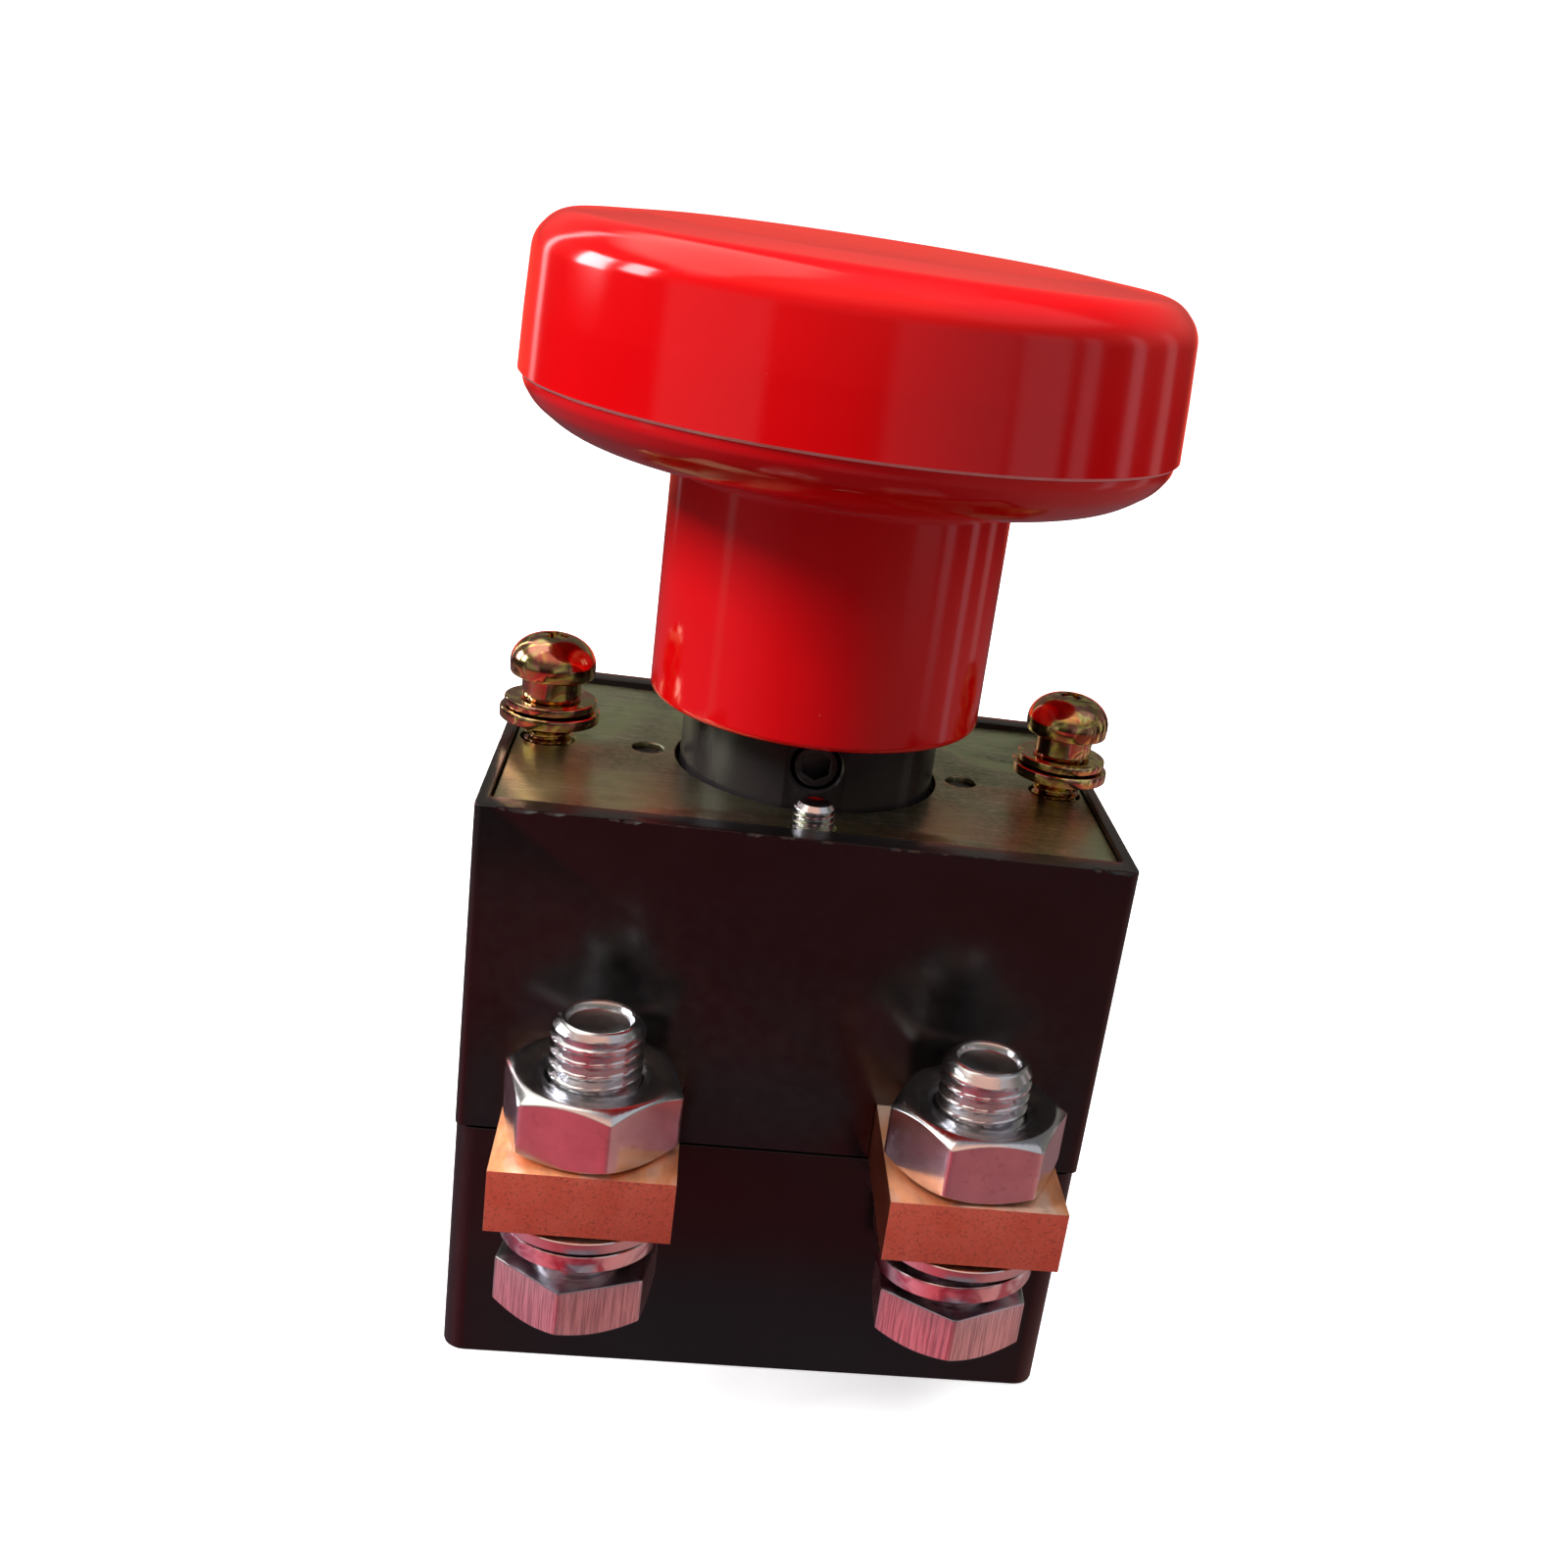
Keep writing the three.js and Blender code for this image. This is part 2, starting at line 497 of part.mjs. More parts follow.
// The domed cap that closes the mushroom, with a spigot inside the rim.
function knobCap() {
  const bottom = SEAM + REST_GAP;
  return turned(
    [[CAP.spigotInner, CAP.spigotBottom], [CAP.spigotOuter, CAP.spigotBottom], [CAP.spigotOuter, bottom],
      [38.8, bottom], [38.6, 122.5], [38.3, 127.5], [38, 130.5], [37.2, 132.5], [36, 133.6], [32.8, 134.6],
      [27, 134.9], [0, CAP.top], [0, CAP.top - CAP.wall], [27, 134.85 - CAP.wall],
      [34.4, 130.5], [36, 119], [CAP.spigotInner, 118]],
    FINE);
}

// ---- assembly ----

const assembly = new THREE.Group();

function add(name, geometry, look, parent = assembly) {
  const mesh = new THREE.Mesh(geometry, look);
  mesh.name = name;
  parent.add(mesh);
  return mesh;
}

function placed(x, y, z = 0) {
  const group = new THREE.Group();
  group.position.set(x, y, z);
  assembly.add(group);
  return group;
}

add("lower_housing", lowerHousing(), blackPlastic());
add("upper_housing", upperHousing(), blackPlastic());
add("top_plate", topPlate(), yellowZinc());
add("guide_boss", guideBoss(), blackPlastic());

for (const [name, end] of Object.entries(ENDS)) {
  add(`tie_screw_${name}`, tieScrew(), brightZinc(), placed(0, end * TIE.y));
  const detent = placed(0, 0, DETENT.z);
  detent.rotation.x = towards(end);
  add(`detent_screw_${name}`, detentScrew(), steel(), detent);
  add(`detent_spring_${name}`, detentSpring(), springSteel(), detent);
  add(`detent_ball_${name}`, detentBall(), steel(), detent);
}

for (const [name, side] of Object.entries(SIDES)) {
  add(`flange_screw_${name}`, flangeScrew(), steel(), placed(side * FLANGE.x, 0));

  const mounting = placed(side * MOUNTING.x, 0);
  add(`mounting_screw_${name}`, mountingScrew(), yellowZinc(), mounting);
  add(`mounting_spring_washer_${name}`, mountingSpringWasher(), yellowZinc(), mounting);
  add(`mounting_flat_washer_${name}`, mountingFlatWasher(), yellowZinc(), mounting);

  const terminal = placed(side * BAR.x, 0);
  add(`terminal_bar_${name}`, terminalBar(), copper(), terminal);
  add(`bar_screw_${name}`, barScrew(), steel(), terminal).position.y = BAR_SCREW.y;
  add(`fixed_contact_${name}`, contactTip(BAR.bottom - TIP.height - TIP.gap), silver(), terminal);
  add(`moving_contact_${name}`, contactTip(BRIDGE.top + TIP.gap), silver(), terminal);

  const bolt = placed(side * BAR.x, BOLT.y);
  add(`terminal_bolt_${name}`, terminalBolt(name), brightZinc(), bolt);
  add(`terminal_nut_${name}`, terminalNut(NUT_TURN[name]), brightZinc(), bolt);
  add(`terminal_flat_washer_${name}`, terminalFlatWasher(), brightZinc(), bolt);
  add(`terminal_spring_washer_${name}`, terminalSpringWasher(name), brightZinc(), bolt);
}

add("plunger_shaft", plungerShaft(), steel());
add("thrust_washer", thrustWasher(), steel());
add("opening_spring", coil(OPENING_SPRING), springSteel());
add("stud_nut", drilledHexagon(STUD_NUT, SHAFT.stud + REST_GAP), brightZinc());
add("seat_washer", seatWasher(), steel());
add("contact_spring", coil(CONTACT_SPRING), springSteel());
add("insulating_bush", insulatingBush(), insulator());
add("bridge_bar", bridgeBar(), copper());
add("bridge_ring", bridgeRing(), springSteel());
add("knob_body", knobBody(), redPlastic());
add("knob_cap", knobCap(), redPlastic());
add("knob_washer", knobWasher(), brightZinc());
add("knob_nut", drilledHexagon(KNOB_NUT, SHAFT.threadRadius + REST_GAP), brightZinc());

export default assembly;
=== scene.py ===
"""Looks of a push-pull battery disconnect switch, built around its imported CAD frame.

Lengths inside the builders are millimetres in the CAD frame and become metres in mesh_object().
Every visible piece takes its place and size from the CAD node that it stands for.
"""

import json
import random
from math import cos, pi, radians, sin, tan

import bmesh
import bpy
from mathutils import Euler, Matrix, Vector


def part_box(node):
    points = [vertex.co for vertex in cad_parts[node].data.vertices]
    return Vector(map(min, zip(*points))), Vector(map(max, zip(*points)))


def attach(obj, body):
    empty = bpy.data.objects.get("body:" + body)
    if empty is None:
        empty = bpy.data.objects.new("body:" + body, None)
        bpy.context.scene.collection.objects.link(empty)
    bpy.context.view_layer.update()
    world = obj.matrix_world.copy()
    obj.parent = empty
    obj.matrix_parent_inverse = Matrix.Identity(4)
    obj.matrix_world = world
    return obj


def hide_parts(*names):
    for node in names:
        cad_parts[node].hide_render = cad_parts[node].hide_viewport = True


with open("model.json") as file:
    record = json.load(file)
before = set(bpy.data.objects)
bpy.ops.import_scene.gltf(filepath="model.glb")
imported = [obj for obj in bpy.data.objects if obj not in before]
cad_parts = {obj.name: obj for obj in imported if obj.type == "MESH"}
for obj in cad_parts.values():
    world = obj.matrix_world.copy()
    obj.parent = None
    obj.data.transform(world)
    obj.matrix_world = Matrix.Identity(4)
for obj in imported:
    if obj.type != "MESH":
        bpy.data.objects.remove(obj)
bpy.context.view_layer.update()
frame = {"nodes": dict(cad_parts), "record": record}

MM = 0.001
SIDES = {"left": -1, "right": 1}
ENDS = {"front": -1, "rear": 1}
BODIES = frame["record"]["behaviour"]["bodies"]
BODY_OF = {node: body for body, nodes in BODIES.items() for node in nodes}
SLOT_OF = {row["node"]: row["material_slot"] for row in frame["record"]["subparts"]}
SMOOTH_BELOW = radians(32)  # edges flatter than this are shaded smooth


# ---------------------------------------------------------------- places taken from the frame

def low_high(node):
    """Lowest and highest corner of a CAD node, in millimetres."""
    low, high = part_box(node)
    return low / MM, high / MM


def heights(node):
    low, high = low_high(node)
    return low.z, high.z


def centre(node):
    low, high = low_high(node)
    return (low + high) / 2


def radius_of(node):
    low, high = low_high(node)
    return (high.x - low.x) / 2


# ---------------------------------------------------------------- node materials

class Look:
    """A Principled material whose textures are fed from object coordinates, in metres."""

    def __init__(self, name, **sockets):
        self.material = bpy.data.materials.new(name)
        self.material.use_nodes = True
        self.tree = self.material.node_tree
        self.shader = self.tree.nodes["Principled BSDF"]
        for socket, value in sockets.items():
            self.shader.inputs[socket.replace("_", " ")].default_value = value
        self.place = self.tree.nodes.new("ShaderNodeTexCoord").outputs["Object"]
        self.relief = None

    def node(self, kind, *links, **settings):
        made = self.tree.nodes.new(kind)
        for key, value in settings.items():
            setattr(made, key, value)
        for socket, value in links:
            if isinstance(value, bpy.types.NodeSocket):
                self.tree.links.new(value, made.inputs[socket])
            else:
                made.inputs[socket].default_value = value
        return made

    def mapped(self, stretch, turn):
        rows = [("Vector", self.place), ("Scale", stretch), ("Rotation", tuple(radians(a) for a in turn))]
        return self.node("ShaderNodeMapping", *rows).outputs["Vector"]

    def noise(self, per_metre, detail=3.0, stretch=(1, 1, 1), turn=(0, 0, 0), roughness=0.55, twist=0.0):
        rows = [
            ("Vector", self.mapped(stretch, turn)), ("Scale", per_metre), ("Detail", detail),
            ("Roughness", roughness), ("Distortion", twist),
        ]
        return self.node("ShaderNodeTexNoise", *rows).outputs["Fac"]

    def cells(self, per_metre):
        rows = [("Vector", self.place), ("Scale", per_metre)]
        return self.node("ShaderNodeTexVoronoi", *rows).outputs["Distance"]

    def ramp(self, value, *stops):
        """Colours or greys at given positions: ramp(fac, (0.4, black), (0.6, white))."""
        made = self.node("ShaderNodeValToRGB", ("Fac", value))
        elements = made.color_ramp.elements
        while len(elements) < len(stops):
            elements.new(0.5)
        for element, (position, colour) in zip(elements, stops):
            element.position = position
            element.color = (*colour, 1) if isinstance(colour, tuple) else (colour, colour, colour, 1)
        return made.outputs["Color"]

    def mixed(self, share, first, second):
        """First where share is 0, second where it is 1. Sockets 6 and 7 are the colour inputs."""
        made = self.node("ShaderNodeMix", (0, share), data_type="RGBA")
        for index, value in ((6, first), (7, second)):
            if isinstance(value, tuple):
                made.inputs[index].default_value = (*value, 1)
            else:
                self.tree.links.new(value, made.inputs[index])
        return made.outputs[2]

    def math(self, operation, first, second=0.0):
        return self.node("ShaderNodeMath", (0, first), (1, second), operation=operation).outputs[0]

    def spread(self, value, low, high):
        rows = [("Value", value), ("To Min", low), ("To Max", high)]
        return self.node("ShaderNodeMapRange", *rows).outputs["Result"]

    def lines(self, per_metre, stretch, turn):
        """Thin scratches: the narrow band where a stretched noise crosses its middle value."""
        value = self.noise(per_metre, 2.0, stretch, turn, 0.4)
        off_middle = self.math("ABSOLUTE", self.math("SUBTRACT", value, 0.5))
        return self.ramp(off_middle, (0.0, 1.0), (0.012, 0.0))

    def scratches(self, per_metre, turn):
        """Short straight marks, thinned out by a broad mask."""
        marks = self.noise(per_metre, 1.0, (1, 1, 0.025), turn, 0.3)
        kept = self.ramp(marks, (0.735, 0.0), (0.76, 1.0))
        return self.math("MULTIPLY", kept, self.ramp(self.noise(25, 2.0), (0.45, 0.0), (0.6, 1.0)))

    def worn_edges(self):
        pointed = self.node("ShaderNodeNewGeometry").outputs["Pointiness"]
        return self.ramp(pointed, (0.52, 0.0), (0.6, 1.0))

    def colour(self, value):
        self.tree.links.new(value, self.shader.inputs["Base Color"])

    def rough(self, value):
        self.tree.links.new(value, self.shader.inputs["Roughness"])

    def bump(self, height, strength, millimetres):
        rows = [("Height", height), ("Strength", strength), ("Distance", millimetres * MM)]
        if self.relief is not None:
            rows.append(("Normal", self.relief))
        self.relief = self.node("ShaderNodeBump", *rows).outputs["Normal"]
        self.tree.links.new(self.relief, self.shader.inputs["Normal"])


def red_highlight_edge():
    """Paler, rougher red along the cap's lower bevel: a painted highlight standing in for the light line at
    the seam.
    """
    look = Look("red_highlight_edge", Specular_IOR_Level=0.5)
    look.colour(look.ramp(look.noise(260, 3.0), (0.3, (1.0, 0.26, 0.25)), (0.7, (1.0, 0.46, 0.44))))
    look.rough(look.spread(look.noise(400, 3.0), 0.25, 0.4))
    look.bump(look.noise(1200, 3.0), 0.3, 0.05)
    return look.material


def red_plastic():
    look = Look("red_plastic", Specular_IOR_Level=0.5)
    tone = look.noise(45, 3.0)
    body = look.ramp(tone, (0.3, (0.66, 0.0008, 0.0025)), (0.7, (0.74, 0.001, 0.0035)))
    dust = look.ramp(look.cells(420), (0.0, 1.0), (0.045, 0.0))
    patchy = look.ramp(look.noise(160, 2.0), (0.52, 0.0), (0.66, 1.0))
    specks = look.math("MULTIPLY", dust, patchy)
    look.colour(look.mixed(specks, body, (0.86, 0.30, 0.28)))
    look.rough(look.spread(look.noise(70, 4.0), 0.08, 0.16))
    look.bump(look.noise(38, 1.0), 0.25, 0.25)
    look.bump(look.noise(900, 2.0), 0.05, 0.05)
    look.bump(look.scratches(500, (12, 30, 0)), 0.08, 0.03)
    return look.material


def black_plastic():
    look = Look("black_plastic", Specular_IOR_Level=0.5)
    tone = look.ramp(look.noise(90, 4.0), (0.35, (0.0035, 0.003, 0.0032)), (0.7, (0.007, 0.006, 0.0062)))
    worn = look.math("MULTIPLY", look.worn_edges(), look.ramp(look.noise(500, 3.0), (0.4, 0.0), (0.65, 1.0)))
    scratched = look.math("MULTIPLY", look.scratches(420, (0, 24, 0)), 0.05)
    pale = look.math("MAXIMUM", look.math("MULTIPLY", worn, 0.12), scratched)
    look.colour(look.mixed(pale, tone, (0.05, 0.046, 0.044)))
    look.rough(look.spread(look.noise(60, 5.0), 0.17, 0.30))
    look.bump(look.noise(30, 1.0), 0.2, 0.2)
    look.bump(look.noise(1400, 3.0), 0.05, 0.05)
    return look.material


def boss_plastic():
    look = Look("boss_plastic", Specular_IOR_Level=0.22)
    tone = look.ramp(look.noise(120, 4.0), (0.35, (0.010, 0.008, 0.009)), (0.7, (0.016, 0.013, 0.014)))
    pale = look.math("MULTIPLY", look.worn_edges(), 0.5)
    look.colour(look.mixed(pale, tone, (0.07, 0.06, 0.06)))
    look.rough(look.spread(look.noise(90, 3.0, (1, 1, 0.2)), 0.22, 0.36))
    look.bump(look.noise(700, 2.0, (0.3, 0.3, 6)), 0.08, 0.05)
    return look.material


def passivated_plate():
    look = Look("passivated_plate", Metallic=1.0)
    wide = look.noise(34, 4.0, twist=0.6)
    film = look.ramp(
        wide, (0.36, (0.26, 0.33, 0.17)), (0.45, (0.60, 0.71, 0.37)),
        (0.53, (0.45, 0.46, 0.30)), (0.62, (0.26, 0.33, 0.17)))
    grain = look.noise(1500, 3.0)
    film = look.mixed(look.ramp(grain, (0.42, 0.0), (0.62, 0.5)), film, (0.70, 0.64, 0.44))
    marks = look.lines(40, (1, 26, 1), (0, 0, 24))
    for per_metre, turn in ((34, -52), (30, 78)):
        marks = look.math("MAXIMUM", marks, look.lines(per_metre, (1, 30, 1), (0, 0, turn)))
    look.colour(look.mixed(look.math("MULTIPLY", marks, 0.7), film, (0.90, 0.86, 0.70)))
    look.rough(look.spread(look.noise(120, 5.0), 0.20, 0.46))
    look.bump(grain, 0.12, 0.05)
    look.bump(marks, 0.15, 0.03)
    return look.material


def passivated_screw():
    look = Look("passivated_screw", Metallic=1.0)
    film = look.ramp(
        look.noise(260, 2.0, twist=0.9), (0.36, (0.26, 0.15, 0.08)), (0.45, (0.80, 0.70, 0.22)),
        (0.54, (0.55, 0.20, 0.17)), (0.64, (0.42, 0.34, 0.13)))
    worn = look.math("MULTIPLY", look.worn_edges(), 0.5)
    look.colour(look.mixed(worn, film, (0.85, 0.78, 0.60)))
    look.rough(look.spread(look.noise(600, 3.0), 0.08, 0.20))
    look.bump(look.noise(1500, 3.0), 0.10, 0.04)
    return look.material


def bright_zinc():
    look = Look("bright_zinc", Metallic=1.0)
    tone = look.ramp(look.noise(260, 4.0), (0.3, (0.66, 0.67, 0.70)), (0.7, (0.82, 0.83, 0.86)))
    stain = look.ramp(look.noise(900, 3.0), (0.60, 0.0), (0.75, 0.5))
    look.colour(look.mixed(stain, tone, (0.50, 0.47, 0.44)))
    look.rough(look.spread(look.noise(420, 4.0), 0.13, 0.28))
    look.bump(look.noise(900, 3.0), 0.10, 0.04)
    return look.material


def brushed_zinc():
    """Zinc with upright forging marks, for the sides of the bolt heads."""
    look = Look("bright_zinc_brushed", Metallic=1.0)
    streaks = look.noise(4200, 4.0, (1, 1, 0.03), roughness=0.7)
    light = look.ramp(streaks, (0.40, 0.0), (0.60, 1.0))
    look.colour(look.mixed(light, (0.52, 0.50, 0.53), (1.0, 0.97, 0.99)))
    look.rough(look.spread(look.noise(420, 4.0), 0.24, 0.36))
    look.bump(look.noise(900, 3.0), 0.10, 0.04)
    look.bump(streaks, 0.6, 0.08)
    return look.material


def washer_zinc_painted_reflections():
    """Zinc with crimson and white blotches painted into its colour as reflections of the room."""
    look = Look("washer_zinc_painted_reflections", Metallic=1.0)
    # Painted reflections: crimson of the table and white of the room, in blotches.
    painted_reflections = look.ramp(
        look.noise(330, 2.0, twist=0.5), (0.42, (0.62, 0.30, 0.38)), (0.5, (0.72, 0.68, 0.74)),
        (0.58, (0.97, 0.96, 0.98)))
    look.colour(painted_reflections)
    look.rough(look.spread(look.noise(420, 4.0), 0.12, 0.26))
    look.bump(look.noise(900, 3.0), 0.10, 0.04)
    return look.material


def sawn_copper():
    look = Look("sawn_copper", Metallic=0.7, Specular_IOR_Level=0.4)
    tone = look.ramp(look.noise(240, 4.0), (0.3, (0.90, 0.20, 0.12)), (0.7, (1.0, 0.29, 0.19)))
    pits = look.ramp(look.noise(3400, 3.0), (0.30, 0.5), (0.46, 0.0))
    glints = look.ramp(look.noise(3000, 2.0), (0.64, 0.0), (0.74, 0.7))
    tone = look.mixed(pits, tone, (0.30, 0.09, 0.07))
    look.colour(look.mixed(glints, tone, (0.95, 0.45, 0.35)))
    look.rough(look.spread(look.noise(800, 4.0), 0.48, 0.66))
    look.bump(look.noise(2400, 3.0), 0.35, 0.08)
    look.bump(look.noise(900, 2.0, (1, 1, 0.12), (0, 18, 0)), 0.15, 0.05)
    return look.material


def polished_copper():
    """Drawn faces of the bars, rubbed bright."""
    look = Look("polished_copper", Metallic=0.8)
    tone = look.ramp(
        look.noise(150, 4.0, (1, 0.35, 1), twist=0.5), (0.34, (0.62, 0.24, 0.12)), (0.48, (0.95, 0.40, 0.19)),
        (0.62, (1.0, 0.66, 0.50)))
    tarnish = look.ramp(look.noise(420, 4.0), (0.55, 0.0), (0.72, 0.6))
    look.colour(look.mixed(tarnish, tone, (0.58, 0.26, 0.17)))
    look.rough(look.spread(look.noise(300, 4.0), 0.30, 0.50))
    look.bump(look.noise(1800, 3.0, (1, 0.04, 1)), 0.18, 0.05)
    look.bump(look.noise(160, 2.0), 0.15, 0.12)
    return look.material


def shade_painted_copper():
    """Darker copper for the sides of the bars: painted shade for the shadow they stand in, with paler worn
    edges.
    """
    look = Look("shade_painted_copper", Metallic=1.0)
    drawn = look.noise(150, 4.0, (1, 0.35, 1))
    # The dark tone is painted shade: the sides are darker than the tops.
    tone = look.ramp(drawn, (0.35, (0.20, 0.07, 0.04)), (0.65, (0.46, 0.18, 0.10)))
    look.colour(look.mixed(look.math("MULTIPLY", look.worn_edges(), 0.7), tone, (0.95, 0.45, 0.26)))
    look.rough(look.spread(look.noise(300, 4.0), 0.28, 0.46))
    look.bump(look.noise(1800, 3.0, (1, 0.04, 1)), 0.18, 0.05)
    return look.material


def plain_metal(name, dark, light, rough, brush=(1, 1, 1)):
    """Turned, drawn or pressed metal for the parts inside: mottled tone, fine grain, worn edges."""
    look = Look(name, Metallic=1.0)
    tone = look.ramp(look.noise(300, 4.0), (0.3, dark), (0.7, light))
    worn = look.math("MULTIPLY", look.worn_edges(), 0.5)
    look.colour(look.mixed(worn, tone, tuple(min(1.0, 1.25 * c) for c in light)))
    look.rough(look.spread(look.noise(500, 3.0), *rough))
    look.bump(look.noise(1500, 3.0, brush), 0.15, 0.04)
    return look.material


def laminate():
    look = Look("laminate", Specular_IOR_Level=0.4)
    layers = look.noise(300, 3.0, (1, 1, 8))
    look.colour(look.ramp(layers, (0.35, (0.09, 0.05, 0.03)), (0.65, (0.17, 0.10, 0.06))))
    look.rough(look.spread(look.noise(500, 3.0), 0.45, 0.65))
    look.bump(layers, 0.2, 0.05)
    return look.material


def pale_floor():
    look = Look("pale_floor", Specular_IOR_Level=0.2)
    look.colour(look.ramp(look.noise(6, 4.0), (0.3, (0.86, 0.86, 0.86)), (0.7, (0.90, 0.90, 0.90))))
    look.rough(look.spread(look.noise(14, 4.0), 0.7, 0.9))
    look.bump(look.noise(220, 3.0), 0.05, 0.2)
    look.shader.inputs["Emission Color"].default_value = (1, 1, 1, 1)
    look.shader.inputs["Emission Strength"].default_value = 0.62
    look.material.cycles.emission_sampling = "NONE"
    return look.material


RED = red_plastic()
RED_HIGHLIGHT_EDGE = red_highlight_edge()
BLACK = black_plastic()
BOSS = boss_plastic()
PLATE = passivated_plate()
YELLOW = passivated_screw()
ZINC = bright_zinc()
ZINC_BRUSHED = brushed_zinc()
ZINC_PAINTED_REFLECTIONS = washer_zinc_painted_reflections()
COPPER_SAWN = sawn_copper()
COPPER = polished_copper()
COPPER_SIDE_SHADED = shade_painted_copper()
BLACK_OXIDE = plain_metal("black_oxide", (0.02, 0.019, 0.02), (0.05, 0.047, 0.047), (0.25, 0.42))
STEEL = plain_metal("turned_steel", (0.48, 0.49, 0.51), (0.64, 0.65, 0.67), (0.2, 0.38), (1, 1, 5))
SPRING = plain_metal("spring_wire", (0.25, 0.26, 0.28), (0.40, 0.41, 0.43), (0.25, 0.4))
SILVER = plain_metal("silver_contact", (0.72, 0.71, 0.68), (0.88, 0.87, 0.84), (0.25, 0.45))
LAMINATE = laminate()

INNER_LOOK = {
    "black_housing": BLACK, "red_knob": RED, "yellow_zinc": YELLOW, "bright_zinc": ZINC,
    "copper": COPPER, "silver": SILVER, "steel": STEEL, "spring_steel": SPRING, "insulator": LAMINATE,
}


# ---------------------------------------------------------------- mesh builders

def mesh_object(name, points, faces, looks):
    """A closed mesh object from points in millimetres, welded, facing out and shaded by angle."""
    mesh = bpy.data.meshes.new(name)
    mesh.from_pydata([Vector(p) * MM for p in points], [], faces)
    return finished(name, mesh, looks)


def tidied(mesh):
    """Welds a mesh, faces it outwards and shades it by angle."""
    shape = bmesh.new()
    shape.from_mesh(mesh)
    bmesh.ops.remove_doubles(shape, verts=shape.verts, dist=1e-7)
    bmesh.ops.dissolve_degenerate(shape, edges=shape.edges, dist=1e-8)
    bmesh.ops.recalc_face_normals(shape, faces=shape.faces)
    shape.to_mesh(mesh)
    shape.free()
    mesh.shade_smooth()
    mesh.set_sharp_from_angle(angle=SMOOTH_BELOW)


def finished(name, mesh, looks):
    tidied(mesh)
    made = bpy.data.objects.new(name, mesh)
    bpy.context.scene.collection.objects.link(made)
    mesh.materials.clear()
    for look in looks:
        mesh.materials.append(look)
    return made


def stand_for(made, node):
    """The made piece is shown in place of a CAD node, on its body."""
    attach(made, BODY_OF[node])
    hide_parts(node)


def loft(rings, closed=False):
    """Points and faces of the skin through rings of equal length, capped flat or joined in a loop."""
    count = len(rings[0])
    points = [point for ring in rings for point in ring]
    starts = [index * count for index in range(len(rings))]
    pairs = list(zip(starts, starts[1:]))
    if closed:
        pairs.append((starts[-1], 0))
    faces = [
        (a + i, a + (i + 1) % count, b + (i + 1) % count, b + i)
        for a, b in pairs for i in range(count)]
    if not closed:
        faces.append(tuple(reversed(range(count))))
        faces.append(tuple(starts[-1] + i for i in range(count)))
    return points, faces


def even_angles(count):
    return [2 * pi * i / count for i in range(count)]


def circle(radius, z, angles):
    return [Vector((radius * cos(a), radius * sin(a), z)) for a in angles]


def filleted(corners, steps=5):
    """A closed outline of (x, y, radius) corners, each rounded by a curve of that radius."""
    outline = []
    for index, (x, y, radius) in enumerate(corners):
        corner = Vector((x, y))
        if radius == 0:
            outline.append(corner)
            continue
        before = Vector(corners[index - 1][:2]) - corner
        after = Vector(corners[(index + 1) % len(corners)][:2]) - corner
        half = before.angle(after) / 2
        reach = min(radius / tan(half), 0.49 * before.length, 0.49 * after.length)
        start = corner + before.normalized() * reach
        end = corner + after.normalized() * reach
        for step in range(steps + 1):
            t = step / steps
            outline.append(start * (1 - t) ** 2 + corner * 2 * t * (1 - t) + end * t * t)
    return outline


def turned(name, corners, look, segments, steps=5):
    """A piece of revolution about Z from the corners of its closed section."""
    angles = even_angles(segments)
    rings = [circle(max(p.x, 0.0), p.y, angles) for p in filleted(corners, steps)]
    return mesh_object(name, *loft(rings, closed=True), [look])


def moved(made, x=0.0, y=0.0, z=0.0, turn=(0, 0, 0)):
    """Bakes a turn in degrees about the piece's own origin, then a shift, into its mesh."""
    spin = Euler([radians(a) for a in turn]).to_matrix().to_4x4()
    made.data.transform(Matrix.Translation(Vector((x, y, z)) * MM) @ spin)
    return made


def with_modifier(made, kind, **settings):
    """Applies one modifier to the mesh."""
    modifier = made.modifiers.new(kind.lower(), kind)
    for key, value in settings.items():
        setattr(modifier, key, value)
    graph = bpy.context.evaluated_depsgraph_get()
    mesh = bpy.data.meshes.new_from_object(made.evaluated_get(graph))
    made.modifiers.clear()
    made.data = mesh


def combine(made, others, operation):
    """Cuts or joins the others, one by one, and removes them."""
    for other in others:
        with_modifier(made, "BOOLEAN", operation=operation, object=other, solver="EXACT")
        bpy.data.objects.remove(other)
    return made


def rod(radius, bottom, top, segments=64):
    """A plain tool for cutting holes."""
    angles = even_angles(segments)
    points, faces = loft([circle(radius, bottom, angles), circle(radius, top, angles)])
    return mesh_object("tool", points, faces, [])


def box_tool(x, y, z):
    corners = [Vector((px, py, z[0])) for px, py in ((x[0], y[0]), (x[1], y[0]), (x[1], y[1]), (x[0], y[1]))]
    lifted = [Vector((p.x, p.y, z[1])) for p in corners]
    return mesh_object("tool", *loft([corners, lifted]), [])


